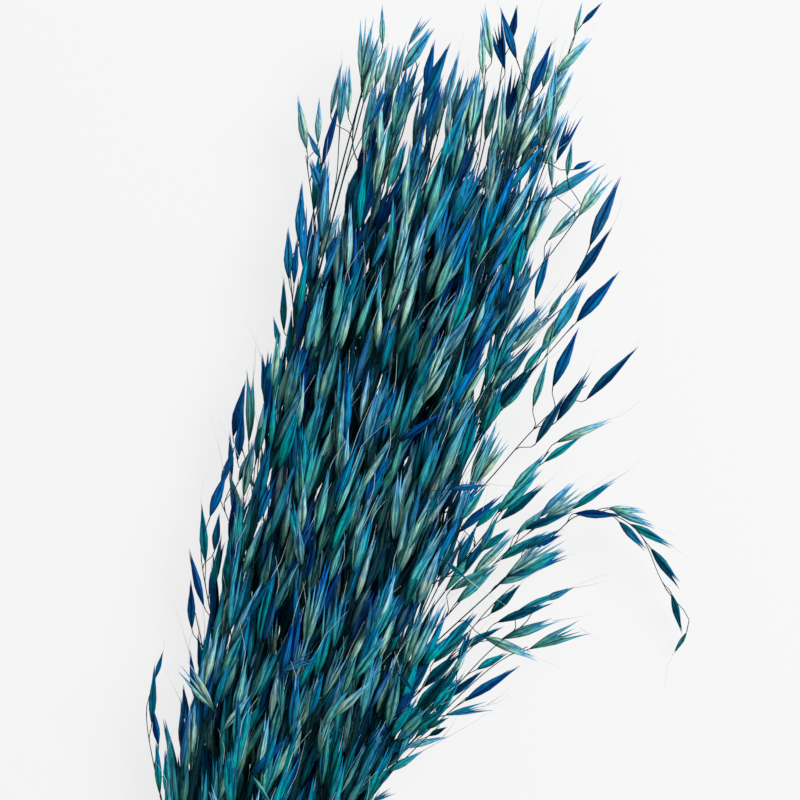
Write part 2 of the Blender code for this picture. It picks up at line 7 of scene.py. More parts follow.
# %% Load the frame
import math
import random
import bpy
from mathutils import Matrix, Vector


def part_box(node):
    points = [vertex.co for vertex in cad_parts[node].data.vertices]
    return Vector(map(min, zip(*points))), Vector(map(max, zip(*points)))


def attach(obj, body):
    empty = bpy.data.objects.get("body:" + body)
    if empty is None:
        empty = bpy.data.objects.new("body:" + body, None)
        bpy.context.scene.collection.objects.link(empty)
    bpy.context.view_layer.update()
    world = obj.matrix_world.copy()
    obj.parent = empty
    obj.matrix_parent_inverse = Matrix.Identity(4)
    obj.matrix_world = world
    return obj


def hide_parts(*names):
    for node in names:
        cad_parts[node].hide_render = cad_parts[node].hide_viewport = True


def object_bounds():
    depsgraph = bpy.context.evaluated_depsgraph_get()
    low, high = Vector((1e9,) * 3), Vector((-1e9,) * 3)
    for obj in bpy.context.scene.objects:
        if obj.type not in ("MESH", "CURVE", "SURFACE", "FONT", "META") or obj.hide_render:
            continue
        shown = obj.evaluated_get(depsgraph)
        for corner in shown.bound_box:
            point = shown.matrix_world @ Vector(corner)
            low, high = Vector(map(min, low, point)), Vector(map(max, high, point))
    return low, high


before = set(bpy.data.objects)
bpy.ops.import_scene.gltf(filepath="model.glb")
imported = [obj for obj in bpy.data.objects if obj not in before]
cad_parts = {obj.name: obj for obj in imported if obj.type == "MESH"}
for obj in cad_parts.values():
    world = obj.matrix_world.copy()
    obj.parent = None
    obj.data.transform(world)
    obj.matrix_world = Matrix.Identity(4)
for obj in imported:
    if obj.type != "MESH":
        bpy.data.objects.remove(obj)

from types import SimpleNamespace

import bmesh
import bpy
import numpy as np
from mathutils import Matrix, Vector, noise

cad_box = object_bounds()
print("CAD box", [[round(value, 4) for value in corner] for corner in cad_box])

# %% [markdown]
# The bunch is drawn in its own coordinates, with the straws' middle at x = 0 and the middle of the pictured
# heads at y = 0, because every section of it is then easy to write down. The tie is in both, so its box
# says how far the drawing has to move to lie where the solids are.

# %% Where the bunch lies
TIE_Y = -0.345
TIE_MIDDLE_Z = 0.01975
TIE_OUTSIDE_RADIUS = 0.01455
tie_low, tie_high = (Vector(corner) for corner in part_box("tie"))
MOVE = Vector((tie_low.x + TIE_OUTSIDE_RADIUS, (tie_low.y + tie_high.y) / 2.0 - TIE_Y, 0.0))
print("drawing moves by", [round(value, 5) for value in MOVE])

# %% [markdown]
# A bunch could be built stalk by stalk, but it is easier to describe as a block of middle lines whose
# section narrows at the tie and widens in the heads. A smooth curve joins the few sections that are written
# down.

# %% Sections of the bunch
# y, middle x, middle z, half width, half depth
SECTIONS = (
    (-0.500, 0.0000, 0.0146, 0.0140, 0.0140),
    (-0.352, 0.0000, 0.0195, 0.0106, 0.0106),
    (-0.338, 0.0000, 0.0200, 0.0106, 0.0106),
    (-0.250, -0.0005, 0.0228, 0.0230, 0.0155),
    (-0.170, -0.0015, 0.0228, 0.0385, 0.0200),
    (-0.080, -0.0025, 0.0232, 0.0415, 0.0215),
    (0.060, -0.0045, 0.0232, 0.0430, 0.0215),
    (0.150, -0.0070, 0.0228, 0.0405, 0.0190),
    (0.200, -0.0080, 0.0228, 0.0360, 0.0170),
)


def bunch_section(y):
    """Middle x, middle z, half width and half depth at y, on a smooth curve through the listed sections."""
    rows = [np.array(row) for row in SECTIONS]
    y = min(max(y, rows[0][0]), rows[-1][0])
    after = next(k for k in range(1, len(rows)) if y <= rows[k][0])
    start, end = rows[after - 1], rows[after]
    before, beyond = rows[max(after - 2, 0)], rows[min(after + 1, len(rows) - 1)]
    span = end[0] - start[0]
    share = (y - start[0]) / span
    start_slope = (end - before) / (end[0] - before[0]) * span
    end_slope = (beyond - start) / (beyond[0] - start[0]) * span
    value = (
        start * (2 * share ** 3 - 3 * share ** 2 + 1)
        + start_slope * (share ** 3 - 2 * share ** 2 + share)
        + end * (3 * share ** 2 - 2 * share ** 3)
        + end_slope * (share ** 3 - share ** 2)
    )
    return value[1:]


print("half width in the heads", round(float(bunch_section(0.0)[2]), 4))

# %% [markdown]
# The stalks fill each section on a sunflower spiral, which spreads any number of them evenly. Every stalk
# has its own seeded draws, so that a change to one of them leaves the others as they are.

# %% The stalks
STALK_COUNT = 24
GOLDEN_ANGLE = math.pi * (3.0 - math.sqrt(5.0))
SEED = 41
CUT_END_Y = -0.490
CUT_END_SPREAD = 0.008
HEAD_BASE_Y = -0.240
HEAD_BASE_SPREAD = 0.035
HEAD_TIP_Y = 0.106
HEAD_TIP_LEAN = 0.012
HEAD_TIP_DIP = 0.016
HEAD_TIP_SPREAD = 0.010


class Stalk:
    """One stalk's place in the bunch, with the levels where its straw and its head start and end."""

    def __init__(self, index):
        self.index = index
        self.name = f"stalk_{index + 1:02d}"
        self.reach = math.sqrt((index + 0.5) / STALK_COUNT)
        self.across = self.reach * math.cos(index * GOLDEN_ANGLE)
        self.above = self.reach * math.sin(index * GOLDEN_ANGLE)
        self.draw = random.Random(SEED * 1000 + index)
        self.cut_y = CUT_END_Y + self.draw.uniform(-1.0, 1.0) * CUT_END_SPREAD
        self.base_y = HEAD_BASE_Y + self.draw.uniform(0.0, 1.0) * HEAD_BASE_SPREAD
        self.tip_y = HEAD_TIP_Y + self.draw.uniform(-1.0, 1.0) * HEAD_TIP_SPREAD
        self.tip_y += HEAD_TIP_LEAN * self.across + HEAD_TIP_DIP * abs(self.across)
        self.spikelets = []
        self.branches = []

    def point(self, y):
        """Point of the stalk's middle line at y."""
        middle_x, middle_z, half_width, half_depth = bunch_section(y)
        return Vector((middle_x + self.across * half_width, y, middle_z + self.above * half_depth))

    def along(self, y):
        """Direction of the stalk at y, towards the tip."""
        step = 0.002
        return (self.point(y + step) - self.point(y - step)).normalized()

    def outward(self, y):
        """Angle round Y of the way out of the bunch."""
        half_width, half_depth = bunch_section(y)[2:]
        return math.atan2(self.above / half_depth, self.across / half_width)


stalks = [Stalk(index) for index in range(STALK_COUNT)]
print(len(stalks), "stalks, heads from", round(min(stalk.base_y for stalk in stalks), 3))

# %% [markdown]
# The photograph looks straight at the heads, which lean to the right in it. With the bunch lying down, that
# is a camera straight above, turned about the vertical by the lean. A long lens keeps the near husks from
# swelling.

# %% Camera
LEAN = math.radians(15.5)
VIEW_MIDDLE = Vector((0.006, 0.0, 0.025))
VIEW_WIDTH = 0.320
LENS = 90.0
SENSOR = 36.0
CAMERA_DISTANCE = VIEW_WIDTH * LENS / SENSOR

camera_data = bpy.data.cameras.new("camera")
camera_data.lens = LENS
camera_data.sensor_width = SENSOR
camera_data.clip_end = 20.0
camera = bpy.data.objects.new("camera", camera_data)
bpy.context.scene.collection.objects.link(camera)
camera.location = VIEW_MIDDLE + MOVE + Vector((0.0, 0.0, CAMERA_DISTANCE))
camera.rotation_euler = (0.0, 0.0, LEAN)
bpy.context.scene.camera = camera
print("camera height", round(camera.location.z, 3))

# %% [markdown]
# What stands at the plume's edge is placed by the pixel that shows it. A pixel is a line of sight and gives
# no height, so the height is chosen apart, and what lies nearer the camera has to sit closer to the middle.

# %% From a pixel to a place
IMAGE_SIZE = 800


def seen_at(column, row, z=VIEW_MIDDLE.z):
    """Place in the bunch of what the photograph shows at this pixel, if it lies at height z."""
    nearer = 1.0 - (z - VIEW_MIDDLE.z) / CAMERA_DISTANCE
    aside = Vector((column - IMAGE_SIZE / 2, IMAGE_SIZE / 2 - row)) * VIEW_WIDTH / IMAGE_SIZE * nearer
    place = VIEW_MIDDLE.to_2d() + Matrix.Rotation(LEAN, 2) @ aside
    return Vector((place.x, place.y, z))


print("one pixel is", round(VIEW_WIDTH / IMAGE_SIZE * 1000.0, 3), "mm")

# %% [markdown]
# The background is a plain pale sheet with hardly a shadow on it, so the floor has a little light of its
# own, which keeps the contact shadow faint.

# %% Floor
FLOOR_SIZE = 6.0
FLOOR_COLOUR = 0.05
FLOOR_GLOW = 0.797


def grey(level):
    """Neutral colour of one linear level."""
    return (level, level, level, 1.0)


bm = bmesh.new()
bmesh.ops.create_grid(bm, x_segments=1, y_segments=1, size=FLOOR_SIZE / 2.0)
floor_mesh = bpy.data.meshes.new("floor")
bm.to_mesh(floor_mesh)
bm.free()
floor = bpy.data.objects.new("floor", floor_mesh)
bpy.context.scene.collection.objects.link(floor)
floor.location = (MOVE.x, MOVE.y, 0.0)
floor_finish = bpy.data.materials.new("pale_floor")
floor_finish.use_nodes = True
floor_shader = floor_finish.node_tree.nodes["Principled BSDF"]
floor_shader.inputs["Base Color"].default_value = grey(FLOOR_COLOUR)
floor_shader.inputs["Roughness"].default_value = 0.9
floor_shader.inputs["Emission Color"].default_value = grey(1.0)
floor_shader.inputs["Emission Strength"].default_value = FLOOR_GLOW
floor_mesh.materials.append(floor_finish)
print("floor", FLOOR_SIZE, "m wide")

# %% [markdown]
# One large soft lamp to the upper right, with a pale sky, gives the husks their shape.

# %% Light
SKY_COLOUR = (0.96, 0.98, 1.0, 1.0)
SKY_STRENGTH = 0.56
LAMP_SIZE = 1.1
LAMP_WATTS = 61.5
LAMP_PLACE = Vector((0.75, 0.70, 1.50))

sky = bpy.data.worlds.new("sky")
bpy.context.scene.world = sky
sky.use_nodes = True
sky.node_tree.nodes["Background"].inputs["Color"].default_value = SKY_COLOUR
sky.node_tree.nodes["Background"].inputs["Strength"].default_value = SKY_STRENGTH

lamp_data = bpy.data.lights.new("soft_lamp", "AREA")
lamp_data.size = LAMP_SIZE
lamp_data.energy = LAMP_WATTS
lamp = bpy.data.objects.new("soft_lamp", lamp_data)
bpy.context.scene.collection.objects.link(lamp)
lamp.location = LAMP_PLACE + MOVE
lamp.rotation_euler = (-LAMP_PLACE).to_track_quat("-Z", "Y").to_euler()
bpy.context.scene.view_settings.view_transform = "Standard"
print("lamp at", [round(value, 2) for value in lamp.location])

# %% [markdown]
# An oat spikelet is two boat-shaped outer husks that face each other like a clam, with two slimmer inner
# husks between them. Closed, they make a lens with a seam down its middle. Dry, their tips spread into two
# to four points. One husk is a ring with its inner side pushed in, extruded from root to tip while it
# widens and narrows. A point attribute keeps where each point lies across and along the husk, for the
# finish to read.

# %% One husk
SPIKELET_LENGTH = 0.0255
SPIKELET_WIDTH = 0.0044
SPIKELET_DEPTH = 0.0032
# share of the length, share of the full width there
OUTER_HUSK = ((0.0, 0.10), (0.10, 0.42), (0.26, 0.84), (0.42, 1.00), (0.62, 0.70), (0.80, 0.30), (1.0, 0.02))
INNER_HUSK = ((0.0, 0.20), (0.22, 0.80), (0.50, 1.00), (0.76, 0.45), (1.0, 0.02))
OUTER_HUSKS = 2
HOLLOW_FROM = 0.62
HOLLOW_SLOPE = 0.40
HOLLOW_WIDTH = 0.82
GAPE_CURVE = 1.5
ROOT_POINT = Vector((0.0, 0.0, -0.0004))


def husk_ring(bm, sides, number):
    """Ring of the husk's section round the origin. An outer husk's inner side is pushed in, like a boat's."""
    place = bm.verts.layers.float_vector["husk"]
    ring = bmesh.ops.create_circle(bm, segments=sides, radius=1.0)["verts"]
    for point in ring:
        across = point.co.y
        if number < OUTER_HUSKS and point.co.x < -0.1:
            point.co.x = HOLLOW_FROM - HOLLOW_SLOPE * abs(point.co.y)
            point.co.y *= HOLLOW_WIDTH
        point[place] = (across, 0.0, number)
    return ring


def grow_husk(bm, sides, profile, size, side, number, gape, opens, bow):
    """Add one husk that grows along Z from the origin, with its back towards side times X."""
    place = bm.verts.layers.float_vector["husk"]
    length, width, depth = size
    root = ring = husk_ring(bm, sides, number)
    edges = list({edge for point in ring for edge in point.link_edges})
    bmesh.ops.transform(bm, matrix=Matrix.Diagonal((side * width / 2.0, depth / 2.0, 1.0, 1.0)), verts=ring)
    scale = profile[0][1]
    bmesh.ops.scale(bm, vec=(scale, scale, 1.0), verts=ring)
    middle = Vector((0.0, 0.0, 0.0))
    for share, fullness in profile[1:]:
        grown = bmesh.ops.extrude_edge_only(bm, edges=edges)["geom"]
        ring = [part for part in grown if isinstance(part, bmesh.types.BMVert)]
        edges = [part for part in grown if isinstance(part, bmesh.types.BMEdge)]
        spread = max(0.0, share - opens) / (1.0 - opens)
        aside = side * gape * length * spread ** GAPE_CURVE
        there = Vector((aside, bow * length * share ** 2, share * length))
        wider = Matrix.Diagonal((fullness / scale, fullness / scale, 1.0, 1.0))
        step = Matrix.Translation(there) @ wider @ Matrix.Translation(-middle)
        bmesh.ops.transform(bm, matrix=step, verts=ring)
        for point in ring:
            point[place] = (point[place].x, share, number)
        middle, scale = there, fullness
    bmesh.ops.pointmerge(bm, verts=ring, merge_co=middle)
    bmesh.ops.pointmerge(bm, verts=root, merge_co=ROOT_POINT)


print("spikelet", SPIKELET_LENGTH, "m long and", SPIKELET_WIDTH, "m wide")

# %% [markdown]
# No two dry spikelets gape alike. A dozen kinds, from shut to wide open, are enough for the eye not to find
# a repeat once each copy gets its own length, roll and tint. Four plainer kinds, with fewer sides and no
# inner husks, fill the underside, where only their colour shows.

# %% A dozen kinds of spikelet
KINDS = 12
OPENED_KINDS = 3
PLAIN_KINDS = 4
OPENED_FROM = 0.04
OPENED_GAPE = (0.10, 0.17)
SHUT_UNTIL = 0.35
SHUT_GAPE = 0.010
GAPE_GAIN = 0.075
BOW = (-0.06, 0.06)
HUSK_FULLNESS = (0.68, 1.06)
SECOND_LENGTH = (0.84, 0.97)
PLAIN_WIDTH = 1.15
INNER_LENGTH = (0.80, 1.02)
INNER_WIDTH = 0.32
INNER_DEPTH = 0.55


def spikelet_kind(number):
    """Mesh of one kind of spikelet, standing on its root. The last kinds have no inner husks."""
    draw = random.Random(500 + number)
    openness = (number % KINDS + 0.5) / KINDS
    opened = KINDS - OPENED_KINDS <= number < KINDS
    opens = OPENED_FROM if opened else SHUT_UNTIL
    gape = draw.uniform(*OPENED_GAPE) if opened else SHUT_GAPE + GAPE_GAIN * openness ** GAPE_CURVE
    bow = draw.uniform(*BOW)
    fullness = draw.uniform(*HUSK_FULLNESS)
    plain = number >= KINDS
    bm = bmesh.new()
    bm.verts.layers.float_vector.new("husk")
    for husk, side in enumerate((1.0, -1.0)):
        size = (
            SPIKELET_LENGTH * (1.0 if side > 0 else draw.uniform(*SECOND_LENGTH)),
            SPIKELET_WIDTH * (PLAIN_WIDTH if plain else fullness * draw.uniform(0.94, 1.06)),
            SPIKELET_DEPTH * draw.uniform(0.9, 1.1),
        )
        spread = gape * draw.uniform(0.7, 1.2)
        grow_husk(bm, 6 if plain else 8, OUTER_HUSK, size, side, husk, spread, opens, bow)
    for husk, side in enumerate(() if plain else (1.0, -1.0), OUTER_HUSKS):
        length = SPIKELET_LENGTH * draw.uniform(*INNER_LENGTH)
        size = (length, SPIKELET_WIDTH * INNER_WIDTH, SPIKELET_DEPTH * INNER_DEPTH)
        bend = bow + draw.uniform(0.0, 0.05)
        grow_husk(bm, 4, INNER_HUSK, size, side, husk, gape * draw.uniform(0.1, 0.6), opens, bend)
    bmesh.ops.recalc_face_normals(bm, faces=bm.faces)
    for face in bm.faces:
        face.smooth = True
    mesh = bpy.data.meshes.new(f"spikelet_kind_{number + 1}")
    bm.to_mesh(mesh)
    bm.free()
    mesh.attributes.new("dye", "FLOAT_COLOR", "POINT")
    return mesh


kinds = [spikelet_kind(number) for number in range(KINDS + PLAIN_KINDS)]
print("faces of one spikelet", len(kinds[0].polygons), "of a plain one", len(kinds[-1].polygons))

# %% [markdown]
# Dye never takes evenly. Each spikelet gets four numbers that its finish mixes by: how far it leans to
# blue, how much pale mint shows in its streaks, with painted light at the top, how dark it is, with painted
# shade deep inside the bunch, and how much undyed cream is left. Each starts from one of a few named tints,
# drawn by chance inside the plume and given one by one at its edge.

# %% Named tints
# blue, pale, dark, cream
TINTS = {
    "plain": (0.0, 0.08, 0.0, 0.0),
    "navy": (1.0, 0.0, 0.45, 0.0),
    "cream": (0.0, 0.50, 0.0, 0.80),
    "mint": (0.05, 0.80, 0.0, 0.06),
    "olive": (-0.5, 0.12, 0.1, 0.50),
    "deep": (0.15, 0.0, 0.50, 0.0),
}
NAVY_SHARE = 0.07
NAVY_IN_PATCH = 0.10
CREAM_SHARE = 0.05
MINT_SHARE = 0.20
OLIVE_SHARE = 0.16
PATCH_SIZE = 0.030


def patch_at(place, shift=(0.0, 0.0, 0.0)):
    """Broad patches over the bunch, from -1 to 1."""
    return noise.noise(place / PATCH_SIZE + Vector(shift))


def drawn_tint(draw, place):
    """Name of the tint that chance gives a spikelet here."""
    pick = draw.random()
    if pick < NAVY_SHARE + NAVY_IN_PATCH * max(0.0, patch_at(place, (3.1, 0.0, 7.7))):
        return "navy"
    if pick > 1.0 - CREAM_SHARE:
        return "cream"
    if pick > 1.0 - CREAM_SHARE - MINT_SHARE:
        return "mint"
    if pick > 1.0 - CREAM_SHARE - MINT_SHARE - OLIVE_SHARE:
        return "olive"
    return "plain"


print("tints", list(TINTS))

# %% [markdown]
# The tint then shifts with the place. It is bluer towards the tips and where the blue dye pooled. It is also
# darker deep inside the bunch, which is painted shade, and paler at the top, which is painted light where the
# light comes through.

# %% Tint of each spikelet
# where the blue dye pooled: x, y and radius
DYE_POOLS = (
    (0.031, 0.084, 0.020), (-0.010, 0.095, 0.014), (-0.038, 0.033, 0.012), (0.004, 0.053, 0.012),
    (-0.005, -0.094, 0.010), (0.032, -0.092, 0.011), (-0.039, -0.143, 0.013), (-0.033, -0.061, 0.011),
)
POOL_BLUE = 1.1
BLUE_START = 0.25
BLUE_PATCHES = 0.9
BLUE_RISE = 1.8
BLUE_FROM_Y = -0.02
PALE_PATCHES = 0.45
PALE_GAIN = 1.12
PALE_CURVE = 1.35
PALE_AFTER = 0.030
# painted light: above this the spikelets are made paler and less dark, for light coming through the top
LIT_FROM_Y = 0.035
LIT_RISE = 11.0
# painted shade: how much darker a spikelet is made, the deeper inside the bunch it lies
INSIDE_PAINTED_SHADE = 0.58


def clamp(value):
    """The value, kept between 0 and 1."""
    return min(1.0, max(0.0, value))


def spikelet_tint(draw, place, depth, name=None):
    """Blue, pale, dark and cream shares of one spikelet, from its place and how deep inside it lies."""
    name = name or drawn_tint(draw, place)
    blue, pale, dark, cream = TINTS[name]
    pooled = clamp(max(1.0 - math.hypot(place.x - x, place.y - y) / radius for x, y, radius in DYE_POOLS))
    # painted light: how far up in the lit top of the plume the spikelet lies; navy and deep ones get none
    lit = 0.0 if name in ("navy", "deep") else max(0.0, place.y - LIT_FROM_Y)
    blue += BLUE_START + BLUE_PATCHES * patch_at(place) + draw.uniform(-0.50, 0.52)
    blue = clamp(clamp(blue + BLUE_RISE * (place.y - BLUE_FROM_Y)) + POOL_BLUE * pooled)
    pale += PALE_PATCHES * patch_at(place, (11.0, 5.0, 2.0)) + draw.uniform(-0.25, 0.25)
    pale = clamp(pale + LIT_RISE * max(0.0, lit - PALE_AFTER))
    pale = min(1.0, PALE_GAIN * pale ** PALE_CURVE) * (1.0 - pooled)
    # painted shade deep inside the bunch, with less of it in the painted light at the top
    dark = clamp(dark + INSIDE_PAINTED_SHADE * depth + draw.uniform(-0.12, 0.30) - LIT_RISE * lit)
    return (blue, pale, dark, clamp(cream + draw.uniform(-0.05, 0.05)))


sample = spikelet_tint(random.Random(1), VIEW_MIDDLE, 0.0)
print("tint of one spikelet", [round(share, 2) for share in sample])

# %% [markdown]
# A spikelet is only noted here: its kind, its place and its tint. Its direction is turned a little where
# its tip would leave the room that the part has. Its branch is a smooth curve, a little thicker at both
# ends.

# %% Note a spikelet and its branch
LOWEST_ROOT = 0.0034
LOWEST_TIP = 0.0020
HIGHEST_TIP = 0.0645
LOWEST_OPENED = 0.0100
SIDE_ROOM = 0.0020
LEFT_TIP = cad_box[0][0] - MOVE.x - SIDE_ROOM
RIGHT_TIP = cad_box[1][0] - MOVE.x + SIDE_ROOM
UP = Vector((0.0, 0.0, 1.0))
BRANCH_EASE = 0.4
BRANCH_SWELL = (1.15, 0.95, 0.85, 0.85, 1.25)


def add_spikelet(stalk, root, direction, face_way, tint, scale, kind, fullness=1.0):
    """Note one spikelet of the stalk: where it sits, which way its broad face looks, its tint and size."""
    length = SPIKELET_LENGTH * scale
    if root.z < LOWEST_OPENED and kind in range(KINDS - OPENED_KINDS, KINDS):
        kind -= OPENED_KINDS
    root = Vector((root.x, root.y, max(root.z, LOWEST_ROOT)))
    tip_x = min(max(root.x + direction.x * length, LEFT_TIP), RIGHT_TIP)
    tip_z = min(max(root.z + direction.z * length, LOWEST_TIP), HIGHEST_TIP)
    direction = Vector(((tip_x - root.x) / length, direction.y, (tip_z - root.z) / length)).normalized()
    wide = scale * fullness
    broad = direction.cross(face_way).normalized()
    face_way = broad.cross(direction).normalized()
    turn = Matrix((broad, face_way, direction)).transposed().to_4x4()
    place = Matrix.Translation(root + MOVE) @ turn @ Matrix.Diagonal((wide, wide, scale, 1.0))
    stalk.spikelets.append((kind, place, tint))
    return direction


def add_branch(stalk, start, start_way, end, end_way, thickness):
    """Note a thin branch on a smooth curve from start to end."""
    reach = (end - start).length * BRANCH_EASE
    near, far = start + start_way * reach, end - end_way * reach
    path = []
    for k, swell in enumerate(BRANCH_SWELL):
        share = k / (len(BRANCH_SWELL) - 1)
        rest = 1.0 - share
        bend = 3 * rest ** 2 * share * near + 3 * rest * share ** 2 * far
        path.append((rest ** 3 * start + bend + share ** 3 * end, thickness * swell))
    stalk.branches.append(path)


print("tips stay between x", round(LEFT_TIP, 4), "and", round(RIGHT_TIP, 4))

# %% [markdown]
# A whorl of branches leaves the central stem every centimetre and a half. Each branch ends in a spikelet
# that points up the head and a little outwards. Stalks on the outside of the bunch turn most of theirs to
# the light. The plume is looser at the top, with three open notches, so some spikelets are left out there.

# %% Whorls of spikelets
WHORL_STEP = 0.0150
OUTER_REACH = 0.66
OUTER_TURN = 1.9
BRANCH_FORWARD = (0.006, 0.036)
BRANCH_OUT = (0.0010, 0.0072)
BRANCH_OUT_EDGE = 0.0092
BRANCH_DROP = (0.018, 0.034)
BRANCH_RADIUS = 0.00021
LOWEST_BRANCH = 0.0026
FLARE = (math.radians(1.0), math.radians(15.0))
RIGHT_FLARE = math.radians(6.0)
SIZE_RANGE = (0.80, 1.22)
FULLNESS_RANGE = (0.82, 1.06)
DEEPEST = 1.15
LESS_DEEP_OUTSIDE = 0.35
# x and y at both ends of each notch, half width
NOTCHES = (
    (-0.0436, 0.1250, -0.0395, 0.0712, 0.0046),
    (-0.0066, 0.1024, -0.0064, 0.1377, 0.0036),
    (0.0101, 0.1050, 0.0093, 0.1379, 0.0028),
)
THIN_FROM_Y = 0.078
THINNED_SHARE = 0.22


def in_notch(root, direction, length):
    """True where a spikelet would close one of the open notches at the top of the plume."""
    for share in (0.1, 0.5, 0.9):
        place = (root + direction * length * share).to_2d()
        for x, y, end_x, end_y, half_width in NOTCHES:
            start, end = Vector((x, y)), Vector((end_x, end_y))
            along = (end - start).normalized()
            near = start + along * min(max((place - start).dot(along), 0.0), (end - start).length)
            if (place - near).length < half_width:
                return True
    return False


def grow_branch(stalk, level_y, to_tip):
    """Add one spikelet of a whorl on its branch, unless it would close a notch or is thinned out."""
    draw = stalk.draw
    outer = stalk.reach > OUTER_REACH
    y = min(level_y + draw.uniform(*BRANCH_FORWARD) * min(1.0, to_tip / 3.0), stalk.tip_y - 0.001)
    turn = OUTER_TURN if outer else math.pi
    around = stalk.outward(y) + draw.uniform(-turn, turn)
    out = Vector((math.cos(around), 0.0, math.sin(around)))
    facing_out = max(0.0, math.cos(around - stalk.outward(y)))
    farthest = BRANCH_OUT[1] + (BRANCH_OUT_EDGE - BRANCH_OUT[1]) * facing_out * outer
    root = stalk.point(y) + out * draw.uniform(BRANCH_OUT[0], farthest)
    root.z = max(root.z, LOWEST_BRANCH)
    flare = draw.uniform(*FLARE) + RIGHT_FLARE * max(0.0, stalk.across) * draw.random()
    sideways = Vector((draw.uniform(-0.09, 0.15), 0.0, draw.uniform(-0.12, 0.12)))
    direction = stalk.along(y) * math.cos(flare) + out * math.sin(flare) + sideways
    face_way = (out + Vector((draw.uniform(-0.7, 0.7), 0.0, draw.uniform(-0.7, 0.7)))).normalized()
    # how deep inside the bunch the spikelet lies, which sets its painted shade
    depth = clamp(DEEPEST - stalk.reach - LESS_DEEP_OUTSIDE * facing_out * outer)
    tint = spikelet_tint(draw, root, depth)
    kind = draw.randrange(KINDS)
    scale = min(draw.uniform(*SIZE_RANGE), (stalk.tip_y - y) / SPIKELET_LENGTH + 1.0)
    if in_notch(root, direction.normalized(), SPIKELET_LENGTH * scale):
        return
    if root.y > THIN_FROM_Y and draw.random() < THINNED_SHARE:
        return
    way = add_spikelet(stalk, root, direction, face_way, tint, scale, kind, draw.uniform(*FULLNESS_RANGE))
    start_y = max(stalk.base_y, y - draw.uniform(*BRANCH_DROP))
    add_branch(stalk, stalk.point(start_y), stalk.along(start_y), root, way, BRANCH_RADIUS)


print(len(NOTCHES), "open notches")

# %% [markdown]
# The underside shows only between the others, so plain spikelets fill it, with no branch of their own. Each
# head grows level by level and ends in one spikelet at its very tip.

# %% Grow the heads
WHORL_BRANCHES = 3
SHORT_TOP = 2.6
LOOSE_TOP = 5.0
LOW_REACH = -0.15
LOW_SPIKELETS = 3
LOW_DEPTH = 0.75
TIP_DEPTH = 0.2


def fill_below(stalk, level_y):
    """Add one plain spikelet in the underside of the bunch."""
    draw = stalk.draw
    y = level_y + draw.uniform(0.0, WHORL_STEP)
    root = stalk.point(y) + Vector((draw.uniform(-0.0075, 0.0075), 0.0, draw.uniform(-0.003, 0.003)))
    root.z = max(root.z, LOWEST_BRANCH)
    direction = stalk.along(y) + Vector((draw.uniform(-0.10, 0.14), 0.0, draw.uniform(-0.05, 0.05)))
    face_way = Vector((draw.uniform(-0.4, 0.4), 0.0, 1.0)).normalized()
    # painted shade: the underside spikelets are tinted as if they lay deep inside the bunch
    tint = spikelet_tint(draw, root, LOW_DEPTH)
    kind = KINDS + draw.randrange(PLAIN_KINDS)
    add_spikelet(stalk, root, direction.normalized(), face_way, tint, draw.uniform(0.95, 1.2), kind)


def grow_head(stalk):
    """Fill the stalk's head with whorls, from its base to its tip."""
    outer = stalk.reach > OUTER_REACH
    for level in range(int((stalk.tip_y - stalk.base_y) / WHORL_STEP)):
        level_y = stalk.base_y + level * WHORL_STEP
        to_tip = (stalk.tip_y - level_y) / WHORL_STEP
        fewer = 2 if to_tip < SHORT_TOP else int(to_tip < LOOSE_TOP)
        for branch in range(WHORL_BRANCHES + (1 if outer and level % 2 else 0) - fewer):
            grow_branch(stalk, level_y, to_tip)
        for spikelet in range(LOW_SPIKELETS if stalk.above < LOW_REACH and to_tip > 3.0 else 0):
            fill_below(stalk, level_y)
    tip = stalk.point(stalk.tip_y)
    tint = spikelet_tint(stalk.draw, tip, TIP_DEPTH)
    add_spikelet(stalk, tip, stalk.along(stalk.tip_y), UP, tint, 1.0, stalk.draw.randrange(KINDS))


for stalk in stalks:
    grow_head(stalk)
print("spikelets in the whorls", sum(len(stalk.spikelets) for stalk in stalks))

# %% [markdown]
# Side sprays give the plume its ragged right edge: thin twigs that arch away from it. The few on top of the
# plume carry a chain of spikelets here. The others stay bare for now, since the outline's own spikelets
# hang from them.

